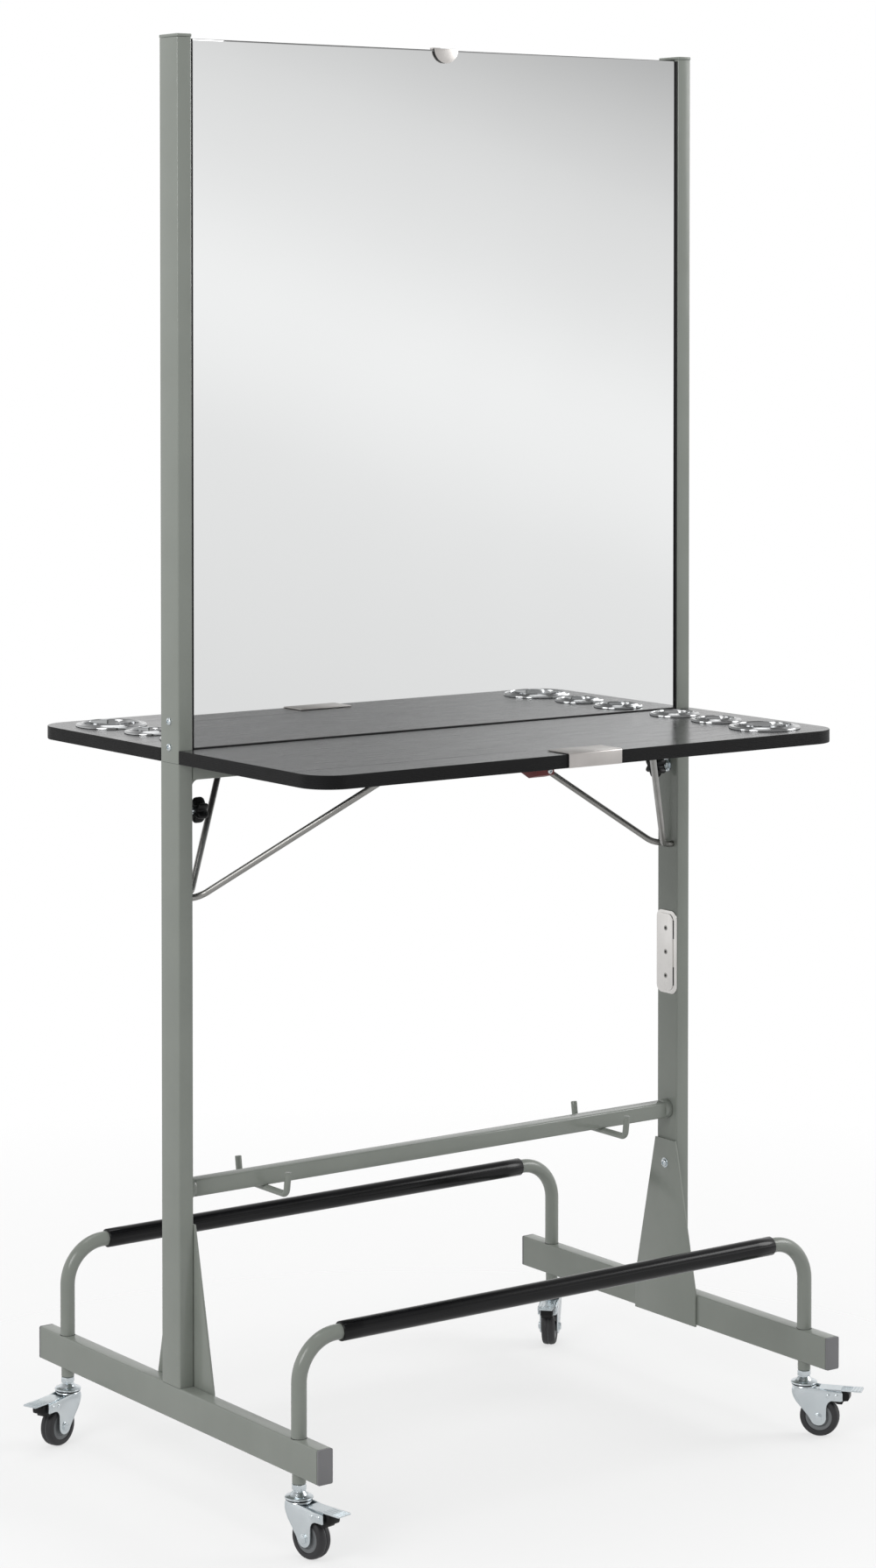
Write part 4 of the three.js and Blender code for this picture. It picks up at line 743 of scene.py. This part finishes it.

# Mirror clip: a chromed half-round plate on each face, joined by a narrow strap sunk in the top edge.
# A small tab stands on the strap. Painted shade: a black fill in the gap between each plate and the glass stands for
# the shadow there.
low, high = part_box("mirror_clip")
CLIP_RADIUS = 18 * mm
CLIP_SHEET = 1.1 * mm
CLIP_PROUD = 1.6 * mm
STRAP_HALF = 6 * mm
chrome = plated("polished_chrome", srgb(170, 171, 172), srgb(182, 183, 184), 0.09, None, 0.00002)
clip_chrome = plated("satin_chrome", srgb(200, 196, 193), srgb(210, 207, 204), 0.34, None, 0.00002)
glass_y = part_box("mirror_pane_front")[0].y
bm = bmesh.new()
clip_gap_shade = bmesh.new()
arc = [math.pi + math.pi * i / 24 for i in range(25)]
for sign in (-1, 1):
    plate_y = sign * (high.y + CLIP_PROUD)
    skin = [(CLIP_RADIUS * math.cos(a), plate_y, high.z - 2 * mm + CLIP_RADIUS * math.sin(a)) for a in arc]
    flat_plate(bm, skin, (0, -sign * CLIP_SHEET, 0))
    # painted shade: a black fill from the back of the plate to the glass, for the shadowed gap
    plate_back_y = plate_y - sign * CLIP_SHEET
    under = [(x * 0.98, plate_back_y, high.z - 2 * mm + (z - high.z + 2 * mm) * 0.98) for x, _, z in skin]
    flat_plate(clip_gap_shade, under, (0, -sign * glass_y - plate_back_y, 0))
soften(bm, 0.3 * mm, 2, 60)
bar(bm, (-STRAP_HALF, low.y, high.z - 3.3 * mm), (STRAP_HALF, high.y, high.z - 2.1 * mm), 1, 0.3 * mm, 2)
bar(bm, (-8 * mm, -4 * mm, high.z - 2.2 * mm), (2 * mm, 4 * mm, high.z), 0, 0.4 * mm, 2)
add_piece("mirror_clip_chrome", bm, clip_chrome, "frame", "chrome", "mirror_clip")
add_piece("mirror_clip_gap_shade", clip_gap_shade, black_plastic, "frame", "black_plastic")

# Leaves: board faced with black wood-grain laminate, round outer corners, hinged along the inner edge.
# A fine scored line runs along the top, and holes are cut for the tool rings.
LEAF_ROUND = 40 * mm
BAND = 0.45 * mm
RINGS = {"inner": 22, "middle": 22, "outer": 34.5}


def leaf_loop(bm, low, high, height, inset):
    """The outline of a leaf at one height, drawn in by a small amount, as a ring of edges."""
    before = set(bm.verts)
    bmesh.ops.create_grid(bm, x_segments=1, y_segments=1, size=0.5)
    made = [v for v in bm.verts if v not in before]
    bmesh.ops.delete(bm, geom=list({f for v in made for f in v.link_faces}), context="FACES_ONLY")
    for vert in made:
        vert.co = (low.x + inset if vert.co.x < 0 else high.x - inset,
                   low.y + inset if vert.co.y < 0 else high.y - inset, height)
    outer = [v for v in made if v.co.y < (low.y + high.y) / 2]
    bmesh.ops.bevel(bm, geom=outer, offset=LEAF_ROUND - inset, offset_type="OFFSET", segments=16, profile=0.5,
                    affect="VERTICES", material=-1)
    return list({e for v in bm.verts if v not in before for e in v.link_edges})


def laminate_finish():
    finish, tree, shader, place = new_finish("black_grain_laminate")
    grain = speckle(tree, place, 26, 6, (0.5, 9, 9))
    pores = speckle(tree, place, 90, 5, (0.16, 9, 9))
    tree.links.new(tint(tree, grain, srgb(32, 33, 34), srgb(48, 49, 51)), shader.inputs["Base Color"])
    tree.links.new(spread(tree, pores, 0.1, 0.3), shader.inputs["Roughness"])
    relief(tree, shader, pores, 0.5, 0.0002)
    return finish


def half_turned(bm, sign):
    """The rear repeats the front, turned half a turn about the middle of the station."""
    if sign > 0:
        bmesh.ops.rotate(bm, cent=(0, 0, 0), matrix=Matrix.Rotation(math.pi, 3, "Z"), verts=bm.verts)


laminate = laminate_finish()
low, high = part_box("leaf_front")
ring_places = {}
for name in RINGS:
    ring_low, ring_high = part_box(f"ring_front_{name}")
    ring_places[name] = (ring_low + ring_high) / 2
for face, sign in FACES.items():
    bm = bmesh.new()
    edges = leaf_loop(bm, low, high, low.z + 0.15 * mm, BAND)
    for name, bore in RINGS.items():
        before = set(bm.verts)
        middle = Matrix.Translation((ring_places[name].x, ring_places[name].y, low.z + 0.15 * mm))
        bmesh.ops.create_circle(bm, segments=56, radius=(bore + 2) * mm, matrix=middle)
        edges += list({e for v in bm.verts if v not in before for e in v.link_edges})
    filled = bmesh.ops.triangle_fill(bm, use_beauty=True, use_dissolve=False, edges=edges)
    faces = [g for g in filled["geom"] if isinstance(g, bmesh.types.BMFace)]
    grown = bmesh.ops.extrude_face_region(bm, geom=faces)["geom"]
    bmesh.ops.translate(bm, verts=[g for g in grown if isinstance(g, bmesh.types.BMVert)],
                        vec=(0, 0, high.z - low.z - 0.15 * mm))
    bmesh.ops.recalc_face_normals(bm, faces=bm.faces)
    half_turned(bm, sign)
    add_piece(f"leaf_board_{face}", bm, laminate, f"leaf_{face}", "laminate", f"leaf_{face}")

# Score lines: a fine line cut in the laminate near the outer edge, from the plain end towards the middle.
# The cut shows the dark core of the sheet.
for face, sign in FACES.items():
    bm = bmesh.new()
    block(bm, (low.x + 1 * mm, -258.5 * mm, high.z - 0.3 * mm), (-55 * mm, -257.7 * mm, high.z + 0.03 * mm))
    half_turned(bm, sign)
    add_piece(f"leaf_score_{face}", bm, black_plastic, f"leaf_{face}", "laminate")

# Leaf edging: black plastic band with fine ribs along it, glued round the edge of each board.
# Its upper and lower corners are broken.
edging = moulded("ribbed_black_edging", srgb(13, 13, 14), srgb(21, 21, 22), 0.5, shine=0.2)
RIBS = 8
for face, sign in FACES.items():
    bm = bmesh.new()
    thick = high.z - low.z
    levels = [(0, BAND), (0.035, 0.06 * mm)]
    for i in range(RIBS):
        start = 0.05 + 0.9 * i / RIBS
        step = 0.9 / RIBS
        levels += [(start + 0.12 * step, 0), (start + 0.62 * step, 0), (start + 0.75 * step, 0.2 * mm), (start + 0.95 * step, 0.2 * mm)]
    levels += [(0.965, 0.06 * mm), (1.0, BAND)]
    last = leaf_loop(bm, low, high, low.z, levels[0][1])
    for share, inset in levels[1:]:
        following = leaf_loop(bm, low, high, low.z + share * thick, inset)
        bmesh.ops.bridge_loops(bm, edges=last + following)
        last = following
    bmesh.ops.recalc_face_normals(bm, faces=bm.faces)
    half_turned(bm, sign)
    add_piece(f"leaf_edging_{face}", bm, edging, f"leaf_{face}", "laminate")

# Tool rings: chromed rims with two rolled beads standing on the leaf, each with a sleeve down through the board.
# Two small ones and a large one stand in a row at one end of each leaf.
for face, sign in FACES.items():
    for name, bore in RINGS.items():
        place = ring_places[name]
        bm = bmesh.new()
        seat = high.z + 0.25 * mm
        rim = bore + 10
        lip = [(bore, -15.9), (bore, 2.2), (bore + 0.3, 3.3), (bore + 1.0, 4.0), (bore + 1.9, 4.2), (bore + 2.7, 3.9),
               (bore + 3.3, 3.2), (bore + 3.9, 2.6), (bore + 5.2, 2.25), (bore + 6.6, 2.15), (bore + 7.3, 2.4), (bore + 8.0, 2.7),
               (bore + 8.7, 2.65), (bore + 9.4, 2.1), (bore + 9.9, 1.1), (rim, 0.25), (rim - 0.5, 0),
               (bore + 1.5, 0), (bore + 1.5, -15.9), (bore, -15.9)]
        turned(bm, [(r * mm, seat + h * mm) for r, h in lip], Matrix.Translation((place.x, place.y, 0)), 72)
        half_turned(bm, sign)
        add_piece(f"tool_ring_{face}_{name}", bm, chrome, f"leaf_{face}", "chrome", f"ring_{face}_{name}")

# Clamp plates: satin stainless sheet folded over the middle of each outer edge.
# They guard the laminate where a lamp or a holder is clamped on.
satin_steel = plated("satin_stainless", srgb(191, 187, 184), srgb(202, 198, 195), 0.4, (1, 1, 0.04))
plate_low, plate_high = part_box("clamp_plate_front")
for face, sign in FACES.items():
    bm = bmesh.new()
    sheet = 1.4 * mm
    y0, z1 = plate_low.y, plate_high.z
    fold = [(y0 + 2 * mm - 2 * mm * math.sin(a), z1 - 2 * mm + 2 * mm * math.cos(a)) for a in [math.radians(90 * i / 6) for i in range(7)]]
    inside = [(y0 + sheet, z1 - 2 * mm), (y0 + sheet + 0.2 * mm, z1 - sheet - 0.1 * mm), (y0 + 2 * mm, z1 - sheet)]
    section = [(plate_high.y, z1 - sheet), (plate_high.y, z1)] + fold + [(y0, plate_low.z), (y0 + sheet, plate_low.z)] + inside
    flat_plate(bm, [(plate_low.x, y, z) for y, z in section], (plate_high.x - plate_low.x, 0, 0))
    soften(bm, 0.3 * mm, 2, 60)
    half_turned(bm, sign)
    add_piece(f"clamp_guard_{face}", bm, satin_steel, f"leaf_{face}", "brushed_steel", f"clamp_plate_{face}")

# Leaf hinges: a zinc-plated strap screwed under the inner edge of each leaf, its knuckles rolled round the pin.
# The rail's own knuckles stand between them.
strap_low, strap_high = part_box("hinge_strap_front")
for face, sign in FACES.items():
    bm = bmesh.new()
    bar(bm, (strap_low.x, strap_low.y, strap_high.z - 1.5 * mm), (strap_high.x, -29 * mm, strap_high.z), 0, 0.3 * mm, 2)
    for i in (0, 2, 4, 6):
        start = strap_low.x + i * PITCH + 0.2 * mm
        length = PITCH - 0.4 * mm
        turned(bm, [(1.4 * mm, 0), (KNUCKLE, 0), (KNUCKLE, length), (1.4 * mm, length), (1.4 * mm, 0)],
               aim((start, -HINGE_Y, HINGE_Z), (1, 0, 0)), 20)
        bar(bm, (start, -30 * mm, HINGE_Z + 0.9 * mm), (start + length, -27.2 * mm, HINGE_Z + 2.4 * mm), 0, 0.2 * mm, 1)
    for i in range(8):
        x = strap_low.x + (i + 0.5) * (strap_high.x - strap_low.x) / 8
        place = aim((x, -46 * mm, strap_high.z - 1.5 * mm), (0, 0, -1))
        turned(bm, [(3.2 * mm, -0.2 * mm), (3.2 * mm, 0.1 * mm), (2.4 * mm, 0.5 * mm), (0, 0.7 * mm)], place, 20)
    half_turned(bm, sign)
    add_piece(f"leaf_hinge_{face}", bm, zinc, f"leaf_{face}", "zinc", f"hinge_strap_{face}")

# Bails: 8 mm steel rod bent to a wide bow and dull zinc plated, its ends turned into holes in the posts.
# The bar of the bow stands under the leaf in the catch and carries it.
BAIL_RADIUS = 4 * mm
for face, sign in FACES.items():
    bm = bmesh.new()
    corners = [(-380, 10, 712), (-355, 10, 712), (-197.5, 179, 862), (197.5, 179, 862), (355, 10, 712), (380, 10, 712)]
    bent_rod(bm, [(x * mm, -y * mm, z * mm) for x, y, z in corners], 22 * mm, BAIL_RADIUS, 28, 14)
    half_turned(bm, sign)
    add_piece(f"bail_rod_{face}", bm, dull_zinc, f"bail_{face}", "zinc", f"bail_{face}")

# Catches: dark red moulded blocks near the middle of each leaf's underside, in which the bar of the bail seats.
# One plated screw at the outer end fixes each to the board.
red_plastic = moulded("dark_red_plastic", srgb(104, 26, 28), srgb(122, 34, 34), 0.42)
for face, sign in FACES.items():
    bm = bmesh.new()
    seat = [(179 - 4.8 * math.cos(math.radians(a)), 862 + 4.8 * math.sin(math.radians(a))) for a in range(-20, 111, 10)]
    section = [(169, 872.7), (169, 860.4)] + seat + [(226, 850.9), (243, 855.2), (243, 872.7)]
    flat_plate(bm, [(-30 * mm, -y * mm, z * mm) for y, z in section], (26 * mm, 0, 0))
    soften(bm, 0.8 * mm, 2, 50)
    half_turned(bm, sign)
    add_piece(f"bail_catch_{face}", bm, red_plastic, f"leaf_{face}", "red_plastic", f"catch_{face}")
    bm = bmesh.new()
    button_screw(bm, (-11 * mm, -243 * mm, 860 * mm), (0, -1, 0), 3.4 * mm)
    half_turned(bm, sign)
    add_piece(f"catch_screw_{face}", bm, zinc, f"leaf_{face}", "zinc")

# Floor: a pale round of studio floor that fades into the white of the room.
# It takes the station's soft shadow and is not part of it.
bm = bmesh.new()
bmesh.ops.create_circle(bm, cap_ends=True, segments=96, radius=2.6)
bmesh.ops.translate(bm, verts=bm.verts, vec=(0, 0, -0.0005))
mesh = bpy.data.meshes.new("studio_floor")
bm.to_mesh(mesh)
bm.free()
floor = bpy.data.objects.new("studio_floor", mesh)
bpy.context.scene.collection.objects.link(floor)
pale, tree, shader, place = new_finish("pale_floor")
shader.inputs["Base Color"].default_value = srgb(250, 250, 250)
shader.inputs["Roughness"].default_value = 0.9
length = tree.nodes.new("ShaderNodeVectorMath")
length.operation = "LENGTH"
tree.links.new(place, length.inputs[0])
fade = spread(tree, length.outputs["Value"], 0.34, 0, 0.45, 1.9)
clear = tree.nodes.new("ShaderNodeBsdfTransparent")
blend = tree.nodes.new("ShaderNodeMixShader")
tree.links.new(fade, blend.inputs["Fac"])
tree.links.new(clear.outputs["BSDF"], blend.inputs[1])
tree.links.new(shader.outputs["BSDF"], blend.inputs[2])
tree.links.new(blend.outputs["Shader"], tree.nodes["Material Output"].inputs["Surface"])
mesh.materials.append(pale)

# Room: white for the camera, and an even soft light for everything else.
# Metal and glass see a pale wall, brightest along a slanting band, that darkens towards the ceiling.
world = bpy.data.worlds.new("white_room")
world.use_nodes = True
bpy.context.scene.world = world
tree = world.node_tree
white = tree.nodes["Background"]
white.inputs["Color"].default_value = (1, 1, 1, 1)
soft = tree.nodes.new("ShaderNodeBackground")
soft.inputs["Color"].default_value = (1, 1, 1, 1)
soft.inputs["Strength"].default_value = 0.47
wall = tree.nodes.new("ShaderNodeBackground")
axes = tree.nodes.new("ShaderNodeSeparateXYZ")
tree.links.new(tree.nodes.new("ShaderNodeTexCoord").outputs["Generated"], axes.inputs["Vector"])
depth = tree.nodes.new("ShaderNodeMath")
depth.operation = "ABSOLUTE"
tree.links.new(axes.outputs["Y"], depth.inputs[0])
facing = tree.nodes.new("ShaderNodeCombineXYZ")
tree.links.new(axes.outputs["X"], facing.inputs["X"])
tree.links.new(depth.outputs["Value"], facing.inputs["Y"])
tree.links.new(axes.outputs["Z"], facing.inputs["Z"])
slant = tree.nodes.new("ShaderNodeVectorMath")
slant.operation = "DOT_PRODUCT"
slant.inputs[1].default_value = (0.295, -0.189, 1)
tree.links.new(facing.outputs["Vector"], slant.inputs[0])
shades = tree.nodes.new("ShaderNodeValToRGB")
shades.color_ramp.interpolation = "B_SPLINE"
stops = [(-1, 0.7), (-0.11, 0.78), (-0.04, 0.82), (0.0, 0.99), (0.035, 0.8), (0.07, 0.78), (0.12, 0.3), (0.15, 0.3), (0.178, 1.0), (0.27, 0.95), (0.42, 0.45), (1, 0.3)]
for at, shade in stops[1:-1]:
    shades.color_ramp.elements.new((at + 1) / 2).color = (shade, shade, shade, 1)
for element, (at, shade) in zip((shades.color_ramp.elements[0], shades.color_ramp.elements[-1]), (stops[0], stops[-1])):
    element.position = (at + 1) / 2
    element.color = (shade, shade, shade, 1)
tree.links.new(spread(tree, slant.outputs["Value"], 0, 1, -1, 1), shades.inputs["Fac"])
back = tree.nodes.new("ShaderNodeValToRGB")
back.color_ramp.interpolation = "B_SPLINE"
stops = [(-1, 0.6), (-0.12, 0.78), (0.0, 0.95), (0.06, 1.0), (0.35, 1.0), (0.6, 0.55), (1, 0.3)]
for at, shade in stops[1:-1]:
    back.color_ramp.elements.new((at + 1) / 2).color = (shade, shade, shade, 1)
for element, (at, shade) in zip((back.color_ramp.elements[0], back.color_ramp.elements[-1]), (stops[0], stops[-1])):
    element.position = (at + 1) / 2
    element.color = (shade, shade, shade, 1)
tree.links.new(spread(tree, axes.outputs["Z"], 0, 1, -1, 1), back.inputs["Fac"])
window = tree.nodes.new("ShaderNodeMath")
window.operation = "MULTIPLY"
tree.links.new(spread(tree, axes.outputs["X"], -0.32, 1.0, 0.565, 0.65), window.inputs[0])
tree.links.new(spread(tree, axes.outputs["Z"], 0, 1, 0.075, 0.11), window.inputs[1])
lift = tree.nodes.new("ShaderNodeMath")
lift.inputs[1].default_value = 1
tree.links.new(window.outputs["Value"], lift.inputs[0])
lit = tree.nodes.new("ShaderNodeVectorMath")
lit.operation = "SCALE"
tree.links.new(shades.outputs["Color"], lit.inputs["Vector"])
tree.links.new(lift.outputs["Value"], lit.inputs["Scale"])
behind = tree.nodes.new("ShaderNodeMix")
behind.data_type = "RGBA"
tree.links.new(spread(tree, axes.outputs["Y"], 0, 1, 0.0, 0.3), behind.inputs[0])
tree.links.new(lit.outputs["Vector"], behind.inputs[6])
tree.links.new(back.outputs["Color"], behind.inputs[7])
tree.links.new(behind.outputs[2], wall.inputs["Color"])
path = tree.nodes.new("ShaderNodeLightPath")
shiny = tree.nodes.new("ShaderNodeMath")
shiny.operation = "MAXIMUM"
tree.links.new(path.outputs["Is Glossy Ray"], shiny.inputs[0])
tree.links.new(path.outputs["Is Transmission Ray"], shiny.inputs[1])
inside = tree.nodes.new("ShaderNodeMixShader")
tree.links.new(shiny.outputs["Value"], inside.inputs["Fac"])
tree.links.new(soft.outputs["Background"], inside.inputs[1])
tree.links.new(wall.outputs["Background"], inside.inputs[2])
outside = tree.nodes.new("ShaderNodeMixShader")
tree.links.new(path.outputs["Is Camera Ray"], outside.inputs["Fac"])
tree.links.new(inside.outputs["Shader"], outside.inputs[1])
tree.links.new(white.outputs["Background"], outside.inputs[2])
tree.links.new(outside.outputs["Shader"], tree.nodes["World Output"].inputs["Surface"])


def soft_lamp(name, place, target, size, power):
    lamp = bpy.data.lights.new(name, "AREA")
    lamp.shape = "DISK"
    lamp.size = size
    lamp.energy = power
    holder = bpy.data.objects.new(name, lamp)
    holder.location = place
    holder.rotation_euler = (Vector(target) - Vector(place)).to_track_quat("-Z", "Y").to_euler()
    bpy.context.scene.collection.objects.link(holder)


soft_lamp("lamp_left", (-2.6, -0.9, 2.0), (-0.4, 0, 0.9), 1.6, 30)
soft_lamp("lamp_right", (2.6, -1.2, 2.0), (0.4, 0, 0.9), 1.6, 30)
soft_lamp("lamp_over", (0, 0.4, 4.2), (0, 0, 0.8), 2.6, 35)

# Camera: a long lens at the photograph's place, level with the eye and a little to the left.
# The frame is taken to be 1000 by 1790, and the shift keeps the posts upright.
lens = bpy.data.cameras.new("station_camera")
lens.sensor_width = 36
lens.lens = 85.71
lens.shift_y = (452.4 - 895) / 1790
lens.clip_end = 50
camera = bpy.data.objects.new("station_camera", lens)
camera.location = (-2.7116, -3.7396, 1.4313)
camera.rotation_euler = (math.radians(90 - 1.64), 0, math.radians(-35.96))
bpy.context.scene.collection.objects.link(camera)
bpy.context.scene.camera = camera
bpy.context.scene.view_settings.view_transform = "Standard"
